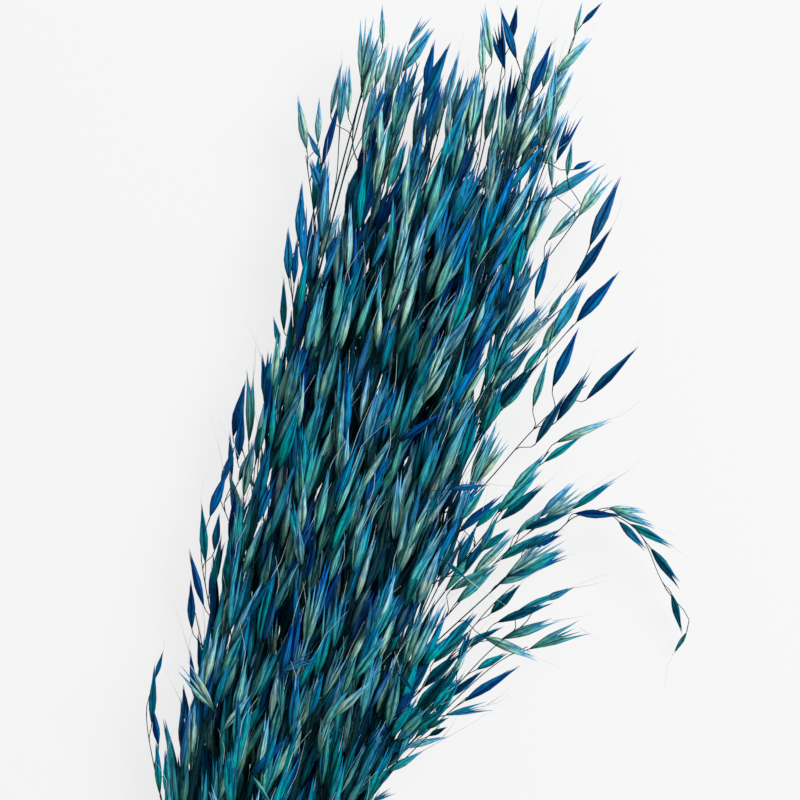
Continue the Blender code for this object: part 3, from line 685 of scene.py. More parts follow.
# %% Side sprays
TWIG_RADIUS = 0.00022
TWIG_STEP = 0.0035
TWIG_START = 0.014
SPRAY_STEP = 0.0092
SPRAY_BARE_START = 0.008
SPRAY_ANGLE = (math.radians(2.0), math.radians(11.0))
SPRAY_BRANCH_RADIUS = 0.00020
SPRAYS = {
    "right_01": ((0.0448, 0.0640, 0.030), (0.0568, 0.0960, 0.033), (0.0600, 0.1180, 0.034)),
    "right_02": (
        (0.0480, 0.0330, 0.021), (0.0600, 0.0660, 0.024), (0.0635, 0.0850, 0.026), (0.0664, 0.1120, 0.029),
    ),
    "right_03": ((0.0460, 0.0100, 0.031), (0.0640, 0.0470, 0.036), (0.0752, 0.0723, 0.038)),
    "right_04": ((0.0440, -0.0300, 0.023), (0.0640, 0.0090, 0.027), (0.0912, 0.0444, 0.030)),
    "right_05": (
        (0.0440, -0.0600, 0.032), (0.0630, -0.0150, 0.037), (0.0710, 0.0010, 0.038), (0.0877, 0.0152, 0.039),
    ),
    "right_06": ((0.0430, -0.0860, 0.021), (0.0672, -0.0411, 0.024), (0.0968, -0.0101, 0.026)),
    "right_07": (
        (0.0420, -0.0950, 0.029), (0.0769, -0.0385, 0.034), (0.0862, -0.0250, 0.035),
        (0.1000, -0.0215, 0.033), (0.1130, -0.0264, 0.028), (0.1249, -0.0397, 0.020),
        (0.1322, -0.0480, 0.015), (0.1412, -0.0654, 0.006),
    ),
    "right_08": ((0.0430, -0.1150, 0.016), (0.0659, -0.0664, 0.018), (0.0893, -0.0383, 0.019)),
    "right_09": ((0.0430, -0.1300, 0.034), (0.0683, -0.0824, 0.040), (0.0938, -0.0545, 0.044)),
    "right_10": ((0.0420, -0.1380, 0.024), (0.0723, -0.0895, 0.028), (0.1017, -0.0681, 0.030)),
    "right_11": (
        (0.0420, -0.1250, 0.026), (0.0600, -0.0860, 0.033),
        (0.0670, -0.0800, 0.034), (0.0880, -0.0860, 0.034),
    ),
    "right_12": ((0.0330, -0.1560, 0.018), (0.0640, -0.1082, 0.019), (0.0787, -0.0899, 0.020)),
    "right_13": ((0.0300, -0.1650, 0.030), (0.0570, -0.1180, 0.034), (0.0728, -0.1060, 0.037)),
    "left_01": ((-0.0440, 0.0550, 0.026), (-0.0574, 0.0867, 0.028), (-0.0649, 0.1061, 0.029)),
    "left_02": ((-0.0450, 0.0250, 0.031), (-0.0535, 0.0500, 0.033), (-0.0569, 0.0697, 0.034)),
    "left_03": ((-0.0410, -0.0200, 0.024), (-0.0500, -0.0040, 0.025), (-0.0531, 0.0164, 0.026)),
    "left_04": ((-0.0390, -0.0520, 0.031), (-0.0516, -0.0300, 0.032), (-0.0553, -0.0068, 0.033)),
    "left_05": ((-0.0390, -0.0760, 0.023), (-0.0529, -0.0560, 0.024), (-0.0540, -0.0340, 0.025)),
    "left_06": ((-0.0390, -0.1100, 0.030), (-0.0540, -0.0800, 0.031), (-0.0604, -0.0580, 0.031)),
    "left_07": ((-0.0380, -0.1290, 0.022), (-0.0516, -0.1010, 0.024), (-0.0600, -0.0785, 0.025)),
    "left_08": (
        (-0.0300, -0.2000, 0.028), (-0.0500, -0.1650, 0.030),
        (-0.0590, -0.1420, 0.031), (-0.0593, -0.1200, 0.031),
    ),
    "top_01": ((-0.0100, -0.1900, 0.043), (-0.0170, -0.1580, 0.055), (-0.0190, -0.1240, 0.060)),
    "top_02": ((0.0120, -0.1300, 0.044), (0.0190, -0.0980, 0.058), (0.0220, -0.0640, 0.064)),
    "top_03": ((-0.0150, -0.0700, 0.045), (-0.0220, -0.0380, 0.058), (-0.0240, -0.0040, 0.063)),
    "top_04": ((0.0120, -0.0100, 0.045), (0.0170, 0.0220, 0.059), (0.0210, 0.0560, 0.065)),
    "tip_01": ((-0.0400, 0.0950, 0.030), (-0.0411, 0.1250, 0.033), (-0.0437, 0.1510, 0.035)),
    "tip_02": ((-0.0210, 0.1000, 0.041), (-0.0226, 0.1300, 0.047), (-0.0253, 0.1532, 0.050)),
    "tip_03": ((0.0100, 0.1000, 0.038), (0.0040, 0.1317, 0.043), (-0.0021, 0.1638, 0.044)),
    "tip_04": ((0.0140, 0.1000, 0.031), (0.0095, 0.1400, 0.033), (0.0070, 0.1642, 0.034)),
    "tip_05": ((0.0240, 0.1000, 0.040), (0.0230, 0.1334, 0.047), (0.0224, 0.1581, 0.050)),
    "tip_06": (
        (0.0310, 0.1100, 0.028), (0.0335, 0.1481, 0.030), (0.0353, 0.1600, 0.031), (0.0415, 0.1759, 0.033),
    ),
}
SPRAY_STALKS = {
    "right_01": 22, "right_02": 22, "right_03": 22, "right_04": 14, "right_05": 17, "right_06": 14,
    "right_07": 22, "right_08": 19, "right_09": 9, "right_10": 19, "right_11": 22, "right_12": 14,
    "right_13": 9, "left_01": 18, "left_02": 23, "left_03": 18, "left_04": 23, "left_05": 18,
    "left_06": 10, "left_07": 18, "left_08": 15, "top_01": 20, "top_02": 12, "top_03": 7, "top_04": 12,
    "tip_01": 10, "tip_02": 15, "tip_03": 4, "tip_04": 6, "tip_05": 17, "tip_06": 17,
}


def smooth_path(places, step):
    """Points every step along a smooth curve through the places."""
    points = [places[0] * 2 - places[1], *places, places[-1] * 2 - places[-2]]
    path = []
    for before, start, end, beyond in zip(points, points[1:], points[2:], points[3:]):
        count = max(1, round((end - start).length / step))
        for k in range(count):
            t = k / count
            path.append(0.5 * (
                2 * start + (end - before) * t + (2 * before - 5 * start + 4 * end - beyond) * t ** 2
                + (3 * start - before - 3 * end + beyond) * t ** 3
            ))
    return [*path, places[-1]]


def dress_twig(stalk, twig, tip, tip_scale, draw):
    """Add spikelets to either side along the stalk's twig, and one from its end to the spray's tip."""
    last_way = (tip - twig[-1]).normalized()
    tint = spikelet_tint(draw, twig[-1], 0.0)
    add_spikelet(stalk, twig[-1], last_way, UP, tint, tip_scale, draw.randrange(KINDS // 2))
    side = draw.choice((-1.0, 1.0))
    travelled = 0.0
    next_at = SPRAY_BARE_START
    for before, here in zip(twig, twig[1:]):
        travelled += (here - before).length
        if travelled < next_at:
            continue
        next_at += SPRAY_STEP * draw.uniform(0.8, 1.25)
        way = (here - before).normalized()
        out = (way.cross(UP).normalized() * side + UP * draw.uniform(-0.7, 0.7)).normalized()
        angle = draw.uniform(*SPRAY_ANGLE)
        direction = way * math.cos(angle) + out * math.sin(angle)
        root = here + direction * draw.uniform(0.001, 0.006)
        tint = spikelet_tint(draw, root, 0.0)
        face_way = (UP + out * draw.uniform(-0.6, 0.6)).normalized()
        scale = min(draw.uniform(0.85, 1.1), (tip - root).length / SPIKELET_LENGTH)
        kind = draw.randrange(KINDS - OPENED_KINDS)
        direction = add_spikelet(stalk, root, direction, face_way, tint, scale, kind)
        add_branch(stalk, here, way, root, direction, SPRAY_BRANCH_RADIUS)
        side = -side


def grow_spray(number, stalk, places, bare):
    """Add one side spray to the stalk, and give back the points of its twig."""
    draw = random.Random(900 + number)
    places = [Vector(place) for place in places]
    path = smooth_path([stalk.point(places[0].y - TWIG_START), *places], TWIG_STEP)
    tip_scale = draw.uniform(0.95, 1.1)
    twig = path[:len(path) - round(SPIKELET_LENGTH * tip_scale / TWIG_STEP)]
    radii = [TWIG_RADIUS * (1.3 - 0.6 * k / len(twig)) for k in range(len(twig))]
    stalk.branches.append(list(zip(twig, radii)))
    if not bare:
        dress_twig(stalk, twig, path[-1], tip_scale, draw)
    return twig


twigs = []
for number, (name, places) in enumerate(SPRAYS.items()):
    stalk = stalks[SPRAY_STALKS[name] - 1]
    twigs.append((stalk, grow_spray(number, stalk, places, not name.startswith("top"))))
print("spikelets in all", sum(len(stalk.spikelets) for stalk in stalks))

# %% [markdown]
# The spikelets that shape the outline are placed one by one, where the photograph shows their root and
# their tip. Each takes its height from the side spray beside it. It hangs by a thin foot stalk from the
# nearest twig, or from the nearest stalk where no twig comes near.

# %% Spikelets of the outline
# pixel of the root, pixel of the tip, tint, kind, fullness
OUTLINE_SPIKELETS = (
    # right edge, from the top
    (544, 200, 605.6, 161, "plain", 7, 0.95), (547.6, 240.8, 585, 204, "mint", 11, 1.0),
    (578, 216.5, 608, 175, "mint", 10, 1.0), (589.7, 246, 621, 174, "navy", 1, 1.1),
    (574.4, 283, 612.7, 225.5, "deep", 0, 0.9), (576.3, 322.4, 619.7, 270, "navy", 0, 1.05),
    (534.8, 300.7, 550.8, 242, "plain", 3, 0.9), (551, 339, 587, 279, "plain", 5, 1.1),
    (548, 318, 565, 288, "mint", 4, 0.9), (552.7, 387.2, 578.9, 325, "navy", 0, 0.95),
    (532.9, 407.6, 547.6, 356.6, "olive", 1, 0.9), (535.5, 444, 567.4, 391, "deep", 1, 0.95),
    (556.5, 421.6, 589.7, 369.3, "deep", 6, 1.1), (585.9, 400, 638.8, 345, "deep", 1, 0.9),
    (555.9, 442.7, 612, 419, "mint", 6, 0.95), (543.8, 462.4, 584, 433.8, "plain", 1, 0.85),
    (510.6, 493, 550, 448, "plain", 3, 1.1), (500.4, 519.8, 545, 484, "deep", 5, 1.05),
    (515.7, 535, 552, 503, "mint", 3, 0.95), (540, 517.3, 574.4, 481.6, "mint", 5, 1.0),
    (543.8, 519.8, 586, 492, "cream", 10, 0.95), (571.8, 509.6, 615.2, 479, "plain", 6, 0.95),
    (523, 530, 575, 510, "deep", 1, 0.9), (574.4, 513.5, 624, 515, "navy", 1, 1.0),
    (608, 508, 647, 511, "mint", 8, 0.9), (612, 510, 657, 527, "mint", 8, 0.9),
    (618.4, 521, 646, 549.7, "deep", 6, 1.0), (630, 524, 672, 546.5, "plain", 6, 1.0),
    (650.3, 547.8, 682, 589, "deep", 7, 0.9), (671.4, 593.7, 690.5, 632, "deep", 1, 0.85),
    (686.7, 632, 685.4, 660, "olive", 3, 0.95),
    # middle right
    (490.6, 613.6, 521, 583, "deep", 0, 1.1), (498.2, 584.2, 546, 565, "mint", 4, 1.0),
    (508.4, 576.6, 567, 556, "plain", 6, 0.9), (497, 622.5, 553, 602, "plain", 4, 0.9),
    (544, 600.8, 573.5, 586.8, "olive", 4, 1.25), (502, 639, 561, 618, "plain", 7, 0.95),
    (528.8, 649.3, 588, 624, "olive", 9, 1.0), (482.9, 636.5, 540, 659, "mint", 8, 1.0),
    (476.5, 669.7, 510, 651, "plain", 3, 1.1), (463.8, 701.6, 520, 664.6, "deep", 4, 0.9),
    (449.7, 697.8, 484, 668.4, "deep", 2, 1.1), (444.6, 715.6, 493, 704, "plain", 9, 0.7),
    (425.5, 729.6, 450, 716, "olive", 2, 1.0), (429, 736, 448, 726, "deep", 1, 1.0),
    (402, 748, 448.5, 736, "mint", 4, 0.8), (462.5, 646.7, 504.6, 625, "plain", 2, 1.0),
    (456, 603, 497, 566, "olive", 5, 1.0), (440, 652, 478, 612, "plain", 5, 1.05),
    (458, 668, 470, 628, "plain", 7, 0.9), (500, 560, 548, 530, "plain", 4, 1.0),
    (520, 572, 566, 548, "plain", 5, 1.0),
    (509, 354, 562, 298, "mint", 9, 0.8), (512.8, 343.6, 542.6, 303.8, "plain", 5, 1.0),
    (541, 353.5, 575, 294, "olive", 3, 1.3), (523, 374, 547, 340, "plain", 2, 1.2),
    (494.4, 391, 536, 337, "deep", 3, 1.2), (496.7, 409, 538, 362, "deep", 5, 1.3),
    (503, 409, 529, 378, "plain", 2, 1.2), (490.6, 391.8, 515, 350, "mint", 1, 1.0),
    (473.8, 355.8, 498, 303.8, "plain", 4, 1.1), (480, 432, 512, 380, "plain", 5, 1.2),
    (459, 532.5, 503.6, 492.3, "navy", 3, 1.1), (497.3, 512.9, 541, 468, "plain", 5, 1.2),
    (475, 528, 507, 497, "plain", 2, 1.2), (460.7, 521, 485.7, 485, "olive", 1, 1.1),
    (479.5, 553, 499, 512, "olive", 2, 1.1), (484, 550, 510, 528, "plain", 1, 1.1),
    (472.3, 575, 514.3, 532.5, "mint", 5, 1.0), (450, 590.5, 498, 563, "olive", 4, 1.0),
    (457, 566, 477, 524, "deep", 1, 1.1), (465, 571, 485, 536, "deep", 2, 1.2),
    (525, 549.5, 562.5, 527, "deep", 2, 1.0), (530, 547.7, 563, 534, "navy", 1, 1.2),
    (505.4, 577, 561.6, 532, "mint", 9, 0.95), (518.8, 610, 573.2, 587, "plain", 2, 0.8),
    (410.7, 673, 435.6, 641.6, "plain", 0, 1.1), (410, 678, 446.4, 635.8, "plain", 4, 1.1),
    (390, 707, 418, 672, "navy", 3, 1.2), (423, 666.4, 459.6, 626.6, "plain", 3, 1.1),
    (433, 663, 470.4, 629, "olive", 4, 1.0), (461.3, 649, 487, 635, "olive", 1, 1.0),
    (421.5, 688, 461.3, 651.5, "deep", 5, 1.1), (452.2, 676.4, 468, 648, "mint", 1, 1.2),
    (414.9, 711, 448, 669.8, "deep", 3, 1.2), (433, 722, 463, 673, "plain", 4, 0.9),
    (400, 730, 436, 690, "plain", 5, 1.0), (392, 752, 430, 712, "deep", 4, 1.1),
    (552, 140, 567, 118, "plain", 0, 1.0), (556, 162, 577, 112, "navy", 9, 0.9),
    (567, 176.7, 572, 139, "plain", 1, 0.9), (573, 169.7, 592, 160, "navy", 0, 1.3),
    (552, 187, 550, 128, "mint", 2, 0.8), (530, 150, 547, 125.7, "navy", 0, 1.0),
    (358, 806, 392, 770, "deep", 2, 1.1), (350, 800, 384, 762, "plain", 4, 1.1),
    (372, 802, 395, 789, "navy", 9, 0.9), (388, 772, 424, 750, "plain", 1, 1.0),
    (362, 758, 404, 742, "navy", 2, 0.9), (366, 746, 403, 711, "navy", 3, 1.0),
    (378, 772, 412, 740, "plain", 5, 1.0), (372, 790, 402, 757, "plain", 3, 1.1),
    (390.6, 738, 417, 697, "plain", 4, 1.1), (408, 733, 452, 703, "deep", 3, 1.1),
    (377, 718.6, 403, 679, "plain", 2, 1.2), (380, 717, 419, 689, "navy", 1, 1.1),
    (401, 705, 435.5, 650, "navy", 5, 1.0), (419, 722, 462, 661, "deep", 5, 1.1),
    (431, 711, 462, 673.7, "plain", 3, 1.2), (396, 742, 430, 706, "olive", 5, 1.1),
    (415, 738, 446, 708, "plain", 2, 1.2), (383, 758, 418, 724, "deep", 4, 1.2),
    # left edge, from the top
    (284, 332, 283, 275, "deep", 2, 0.9), (280, 347, 273, 316, "deep", 1, 1.0),
    (294, 285, 297, 234, "deep", 2, 0.9), (196, 702, 189, 648, "navy", 2, 0.9),
    (203, 682, 197, 630, "deep", 2, 0.9), (187, 724, 183, 684, "deep", 1, 0.9),
    (213, 592, 221, 532, "deep", 2, 0.9), (232, 478, 229, 430, "deep", 2, 0.8),
    (184, 760, 181, 712, "navy", 2, 0.9), (168, 800, 165, 748, "plain", 1, 0.9),
    (306.8, 149.5, 297.2, 94, "cream", 1, 1.0), (318, 143.8, 318.9, 96.6, "mint", 1, 0.8),
    (323.4, 194.8, 309.3, 159, "plain", 5, 1.3), (299, 243, 301.7, 180.8, "deep", 1, 0.95),
    (320.8, 159, 306, 129.7, "plain", 1, 1.0), (322, 166.7, 340.6, 94, "deep", 2, 0.85),
    (289, 280, 287.7, 225.4, "deep", 1, 1.0), (330.6, 116, 341.8, 59, "cream", 2, 0.85),
    (348, 114, 349, 63, "mint", 1, 0.8), (233, 437, 245.7, 378, "navy", 0, 0.9),
    (237.4, 460.8, 243.5, 405, "deep", 0, 0.85), (210, 517, 227, 468, "deep", 1, 1.1),
    (221, 487, 234.8, 443, "navy", 2, 1.1), (214.4, 551.3, 219, 512, "deep", 1, 1.0),
    (205.5, 563, 201, 501.6, "deep", 0, 0.75), (241, 524.5, 228.5, 469.7, "olive", 0, 1.0),
    (238.7, 482, 252.7, 444, "navy", 1, 0.95), (256.5, 460.8, 263, 407, "deep", 1, 0.9),
    (268, 407, 261.5, 352, "deep", 1, 0.95), (254, 487.6, 242.5, 464, "plain", 1, 1.0),
    (204, 606.3, 187.5, 547, "navy", 2, 0.95), (191.9, 629.3, 190.6, 578, "deep", 0, 0.8),
    (209, 594.8, 224, 540, "navy", 2, 1.1), (155.5, 677.8, 163.4, 649.7, "navy", 0, 0.8),
    (151.7, 723.7, 154.4, 664, "deep", 1, 0.8), (158.6, 745, 152.5, 705, "navy", 1, 1.0),
    (160, 795, 155.5, 736, "plain", 2, 0.9),
    # top, from the left
    (361, 80, 368, 16, "mint", 10, 0.85), (375.5, 86, 387.8, 41, "mint", 3, 1.2),
    (382.7, 46, 381.6, 3, "plain", 2, 0.9), (408, 46, 428, 14, "plain", 9, 0.8),
    (402, 72, 433, 26, "plain", 5, 1.2), (447, 145, 450, 88, "cream", 2, 0.85),
    (469.4, 138.8, 479.6, 61, "plain", 3, 0.85), (482.7, 75.5, 481, 18, "olive", 3, 0.85),
    (491.8, 59, 482, 4, "mint", 8, 1.0), (511, 42, 517, 4, "navy", 1, 1.1),
    (500, 151, 504, 73, "mint", 3, 0.8), (524.5, 77.5, 535.7, 26.5, "mint", 6, 1.15),
    (542.9, 88, 554, 49, "mint", 2, 1.5), (544.9, 106, 571, 60, "mint", 3, 1.15),
    (555, 75, 592, 36, "plain", 5, 1.05), (553, 114, 573.5, 69, "mint", 2, 1.2),
    (425, 88, 434, 38, "deep", 2, 1.2), (505, 70, 492, 14, "navy", 9, 1.0),
    (574.5, 37, 582, 1, "olive", 1, 0.8), (581.6, 25, 603, 1, "deep", 1, 0.9),
)
HEAD_HEIGHT = 0.030
TOP_HEIGHT = 0.040
TOP_ROW = 170
TOP_COLUMN = 560
TIP_RISE = 0.001
STEEPEST = 0.009
SPRAY_ROOM = 0.012
SPRAY_PARTS = 11
FOOT_LENGTH = 0.008
FOOT_RADIUS = 0.00018
FOOT_START = 0.016
spray_spots = [
    Vector(start).lerp(Vector(end), k / SPRAY_PARTS)
    for name, places in SPRAYS.items() if not name.startswith("top")
    for start, end in zip(places, places[1:]) for k in range(SPRAY_PARTS + 1)
]


def spray_height(place, otherwise):
    """Height of the side spray that passes nearest this place, or the other one where none is near."""
    nearest = min(spray_spots, key=lambda spot: (spot - place).to_2d().length)
    return nearest.z if (nearest - place).to_2d().length < SPRAY_ROOM else otherwise


def foot_start(root, foot):
    """Stalk, point and direction that a foot stalk comes from: the nearest twig, or a nearer stalk."""
    gap, k, which = min(
        ((spot - foot).length, k, which)
        for which, (stalk, twig) in enumerate(twigs) for k, spot in enumerate(twig)
    )
    start_y = root.y - FOOT_START
    nearest = min(stalks, key=lambda stalk: (stalk.point(start_y) - root).length)
    if gap >= (nearest.point(start_y) - root).length:
        return nearest, nearest.point(start_y), nearest.along(start_y)
    stalk, twig = twigs[which]
    return stalk, twig[k], (twig[min(k + 1, len(twig) - 1)] - twig[max(k - 1, 0)]).normalized()


def place_spikelet(number, root_column, root_row, tip_column, tip_row, tint_name, kind, fullness):
    """Add one listed spikelet, on the stalk that its foot comes from."""
    draw = random.Random(1300 + number)
    at_top = root_row < TOP_ROW and root_column < TOP_COLUMN
    root_z = spray_height(seen_at(root_column, root_row), TOP_HEIGHT if at_top else HEAD_HEIGHT)
    tip_z = spray_height(seen_at(tip_column, tip_row), root_z + TIP_RISE)
    tip_z = min(max(tip_z, root_z - STEEPEST), root_z + STEEPEST)
    root, tip = seen_at(root_column, root_row, root_z), seen_at(tip_column, tip_row, tip_z)
    way = (tip - root).normalized()
    stalk, start, start_way = foot_start(root, root - way * FOOT_LENGTH)
    face_way = Vector((draw.uniform(-0.25, 0.25), 0.0, 1.0)).normalized()
    tint = spikelet_tint(draw, root, 0.0, tint_name)
    scale = (tip - root).length / SPIKELET_LENGTH
    way = add_spikelet(stalk, root, way, face_way, tint, scale, kind, fullness / max(scale, 0.7) ** 0.5)
    add_branch(stalk, start, start_way, root, way, FOOT_RADIUS)


for number, row in enumerate(OUTLINE_SPIKELETS):
    place_spikelet(number, *row)
print("spikelets of the outline", len(OUTLINE_SPIKELETS))

# %% [markdown]
# A few spikelets have come loose from the run of the plume and lie across it. Each has its root, the angle
# that it points at, seen from above, and its length.

# %% Stray spikelets
# x, y and z of the root, angle from +X in degrees, length, tint, kind
STRAYS = (
    (-0.0313, -0.1357, 0.0470, 139.5, 0.0220, "cream", 10),
    (-0.0259, -0.1427, 0.0480, 70.0, 0.0200, "mint", 3),
    (-0.0062, -0.1298, 0.0490, 105.0, 0.0160, "olive", 11),
    (0.0125, -0.1410, 0.0480, 95.0, 0.0160, "cream", 9),
    (-0.0106, -0.1559, 0.0480, 63.5, 0.0210, "navy", 4),
    (-0.0106, -0.1559, 0.0475, -40.0, 0.0160, "mint", 2),
    (-0.0105, -0.1142, 0.0500, 42.7, 0.0170, "navy", 9),
    (0.0334, -0.0285, 0.0470, 22.5, 0.0165, "navy", 1),
    (0.0408, -0.0568, 0.0380, -22.6, 0.0110, "deep", 0),
    (0.0339, -0.1035, 0.0400, -33.6, 0.0110, "deep", 0),
    (0.0233, 0.1268, 0.0480, 85.0, 0.0235, "navy", 0),
    (0.0144, 0.1402, 0.0440, 123.5, 0.0220, "navy", 1),
    (-0.0169, 0.1132, 0.0460, 80.4, 0.0270, "deep", 0),
    (-0.0140, 0.1020, 0.0470, 85.0, 0.0250, "deep", 2),
)
STRAY_START = 0.010
stray_draw = random.Random(63)
for x, y, z, angle, length, tint_name, kind in STRAYS:
    root = Vector((x, y, z))
    stalk = min(stalks, key=lambda near: (near.point(y) - root).length)
    turn = math.radians(angle)
    direction = Vector((math.cos(turn), math.sin(turn), stray_draw.uniform(0.0, 0.12))).normalized()
    tint = spikelet_tint(stray_draw, root, 0.0, tint_name)
    add_spikelet(stalk, root, direction, UP, tint, length / SPIKELET_LENGTH, kind)
    start_y = y - STRAY_START
    add_branch(stalk, stalk.point(start_y), stalk.along(start_y), root, direction, SPRAY_BRANCH_RADIUS)
print("stray spikelets", len(STRAYS))

# %% [markdown]
# All the finishes are built from the same few nodes, so these get short names here. Anything handed to a
# node may be a number, a colour or the output of another node.

# %% Nodes that the finishes share
RELIEF_DEPTH = 0.0002


def linear(red, green, blue):
    """Linear colour of an sRGB one in 0 to 255."""
    return (*[(part / 255.0) ** 2.2 for part in (red, green, blue)], 1.0)


class Nodes:
    """The nodes of one finish or group, while it is being built."""

    def __init__(self, tree):
        self.tree = tree
        self.shader = tree.nodes.get("Principled BSDF")

    def put(self, value, socket):
        """Lead another node's output to a socket, or set the socket to a plain value."""
        if isinstance(value, bpy.types.NodeSocket):
            self.tree.links.new(value, socket)
        else:
            socket.default_value = value

    def add(self, kind, inputs=(), **properties):
        """Node of this kind with its properties and then its inputs set, each input by name or number."""
        made = self.tree.nodes.new(kind)
        for name, value in properties.items():
            setattr(made, name, value)
        for name, value in dict(inputs).items():
            self.put(value, made.inputs[name])
        return made

    def maths(self, operation, *values):
        """Result of a Math node."""
        return self.add("ShaderNodeMath", enumerate(values), operation=operation).outputs[0]

    def times(self, first, second):
        """Product of the two."""
        return self.maths("MULTIPLY", first, second)

    def times_plus(self, first, second, third):
        """Product of the first two, plus the third."""
        return self.maths("MULTIPLY_ADD", first, second, third)

    def mix(self, share, first, second):
        """The first colour with this share of the second."""
        return self.add("ShaderNodeMix", {0: share, 6: first, 7: second}, data_type="RGBA").outputs[2]

    def spread(self, value, low, high):
        """The value, stretched so that low becomes 0 and high becomes 1."""
        return self.add("ShaderNodeMapRange", {0: value, 1: low, 2: high}).outputs[0]

    def clouds(self, place, scale, detail):
        """Soft noise at this place."""
        return self.add("ShaderNodeTexNoise", {"Vector": place, "Scale": scale, "Detail": detail}).outputs[0]

    def object_place(self):
        """Place on the piece, which lies at the origin."""
        return self.add("ShaderNodeTexCoord").outputs["Object"]

    def ramp(self, factor, stops):
        """Colour ramp with these sRGB stops."""
        made = self.add("ShaderNodeValToRGB", {0: factor})
        elements = made.color_ramp.elements
        while len(elements) < len(stops):
            elements.new(0.5)
        for element, (at, colour) in zip(elements, stops):
            element.position = at
            element.color = linear(*colour)
        return made.outputs[0]

    def relief(self, height, strength):
        """Fine relief of this height on the shader."""
        bump = self.add("ShaderNodeBump", {"Strength": strength, "Distance": RELIEF_DEPTH, "Height": height})
        self.put(bump.outputs[0], self.shader.inputs["Normal"])


def new_finish(name):
    """Material of this name, and its nodes."""
    finish = bpy.data.materials.new(name)
    finish.use_nodes = True
    return finish, Nodes(finish.node_tree)


print("linear mid grey", [round(part, 3) for part in linear(128, 128, 128)])

# %% [markdown]
# The finish of a husk follows the husk and not the room. Fine nerves run along it, with long streaks where
# the dye took badly, and small flecks. These three patterns are a node group, which needs only the place on
# the husk and a seed that differs from husk to husk.

# %% Nerves and streaks as a node group
NERVES = 4.0
# name, scale across and along, shift, noise value at 0 and at 1
FIBRE_PATTERNS = (("Streak", 4.6, 1.3, 0.0, 0.46, 0.56), ("Fleck", 5.0, 6.0, 9.0, 0.50, 0.60))


def build_fibre_group():
    """Group that turns across, along and seed into nerve lines, long streaks and flecks."""
    group = bpy.data.node_groups.new("plant_fibres", "ShaderNodeTree")
    for name, start in (("Across", 0.0), ("Along", 0.0), ("Seed", 0.0), ("Nerves", NERVES)):
        socket = group.interface.new_socket(name, in_out="INPUT", socket_type="NodeSocketFloat")
        socket.default_value = start
    for name in ("Nerve", "Streak", "Fleck"):
        group.interface.new_socket(name, in_out="OUTPUT", socket_type="NodeSocketFloat")
    nodes = Nodes(group)
    across, along, seed, nerves = nodes.add("NodeGroupInput").outputs[:4]
    leave = nodes.add("NodeGroupOutput")
    turns = nodes.times_plus(across, nerves, nodes.times(seed, 0.37))
    wave = nodes.maths("SINE", nodes.times(turns, math.pi))
    nodes.put(nodes.maths("POWER", nodes.times_plus(wave, 0.5, 0.5), 1.6), leave.inputs["Nerve"])
    for name, scale_across, scale_along, shift, low, high in FIBRE_PATTERNS:
        place = (
            nodes.times_plus(across, scale_across, seed),
            nodes.times(along, scale_along),
            nodes.times_plus(seed, 7.0, shift),
        )
        joined = nodes.add("ShaderNodeCombineXYZ", enumerate(place)).outputs[0]
        nodes.put(nodes.spread(nodes.clouds(joined, 1.0, 3.0), low, high), leave.inputs[name])
    return group


fibres = build_fibre_group()
print("group sockets", [item.name for item in fibres.interface.items_tree])

# %% [markdown]
# A husk is dark green at the root, teal in the belly and blue at the tip, and a second ramp holds the bluer
# dye. Over that ground come thin layers, each with its own share at every point, from the undyed cream to
# the darkest one, which is dark dye with painted shade in it.

# %% Layers of a husk's colour
HUSK_RAMP = (
    (0.00, (4, 46, 36)), (0.14, (30, 100, 70)), (0.32, (0, 132, 108)),
    (0.54, (0, 143, 150)), (0.78, (0, 116, 176)), (1.00, (20, 88, 186)),
)
BLUE_RAMP = (
    (0.00, (0, 32, 54)), (0.15, (0, 70, 114)), (0.40, (0, 104, 168)),
    (0.65, (0, 90, 190)), (0.85, (16, 68, 188)), (1.00, (62, 76, 192)),
)


def husk_values(nodes):
    """What the finish mixes by: the place on the husk, its dye numbers, its lot and its fibres."""
    place = nodes.add("ShaderNodeAttribute", attribute_name="husk").outputs["Vector"]
    across, along, husk_number = nodes.add("ShaderNodeSeparateXYZ", {0: place}).outputs
    # the dye numbers also carry painted shade deep inside the bunch and painted light at the top
    dye = nodes.add("ShaderNodeAttribute", attribute_name="dye").outputs
    blue, pale, dark = nodes.add("ShaderNodeSeparateColor", {0: dye["Color"]}).outputs
    seed = nodes.times_plus(blue, 23.0, nodes.times(dark, 37.0))
    seed = nodes.times_plus(husk_number, 5.3, seed)
    lot = nodes.add("ShaderNodeTexWhiteNoise", {"W": seed}, noise_dimensions="1D").outputs[0]
    pattern = nodes.add("ShaderNodeGroup", {"Across": across, "Along": along, "Seed": seed}, node_tree=fibres)
    nerve, streak, fleck = pattern.outputs
    belly = nodes.maths("PINGPONG", nodes.maths("ADD", along, 0.08), 0.5)
    return SimpleNamespace(
        across=across, along=along, blue=blue, pale=pale, dark=dark, cream=dye["Alpha"],
        lot=lot, nerve=nerve, streak=streak, fleck=fleck, belly=belly,
    )


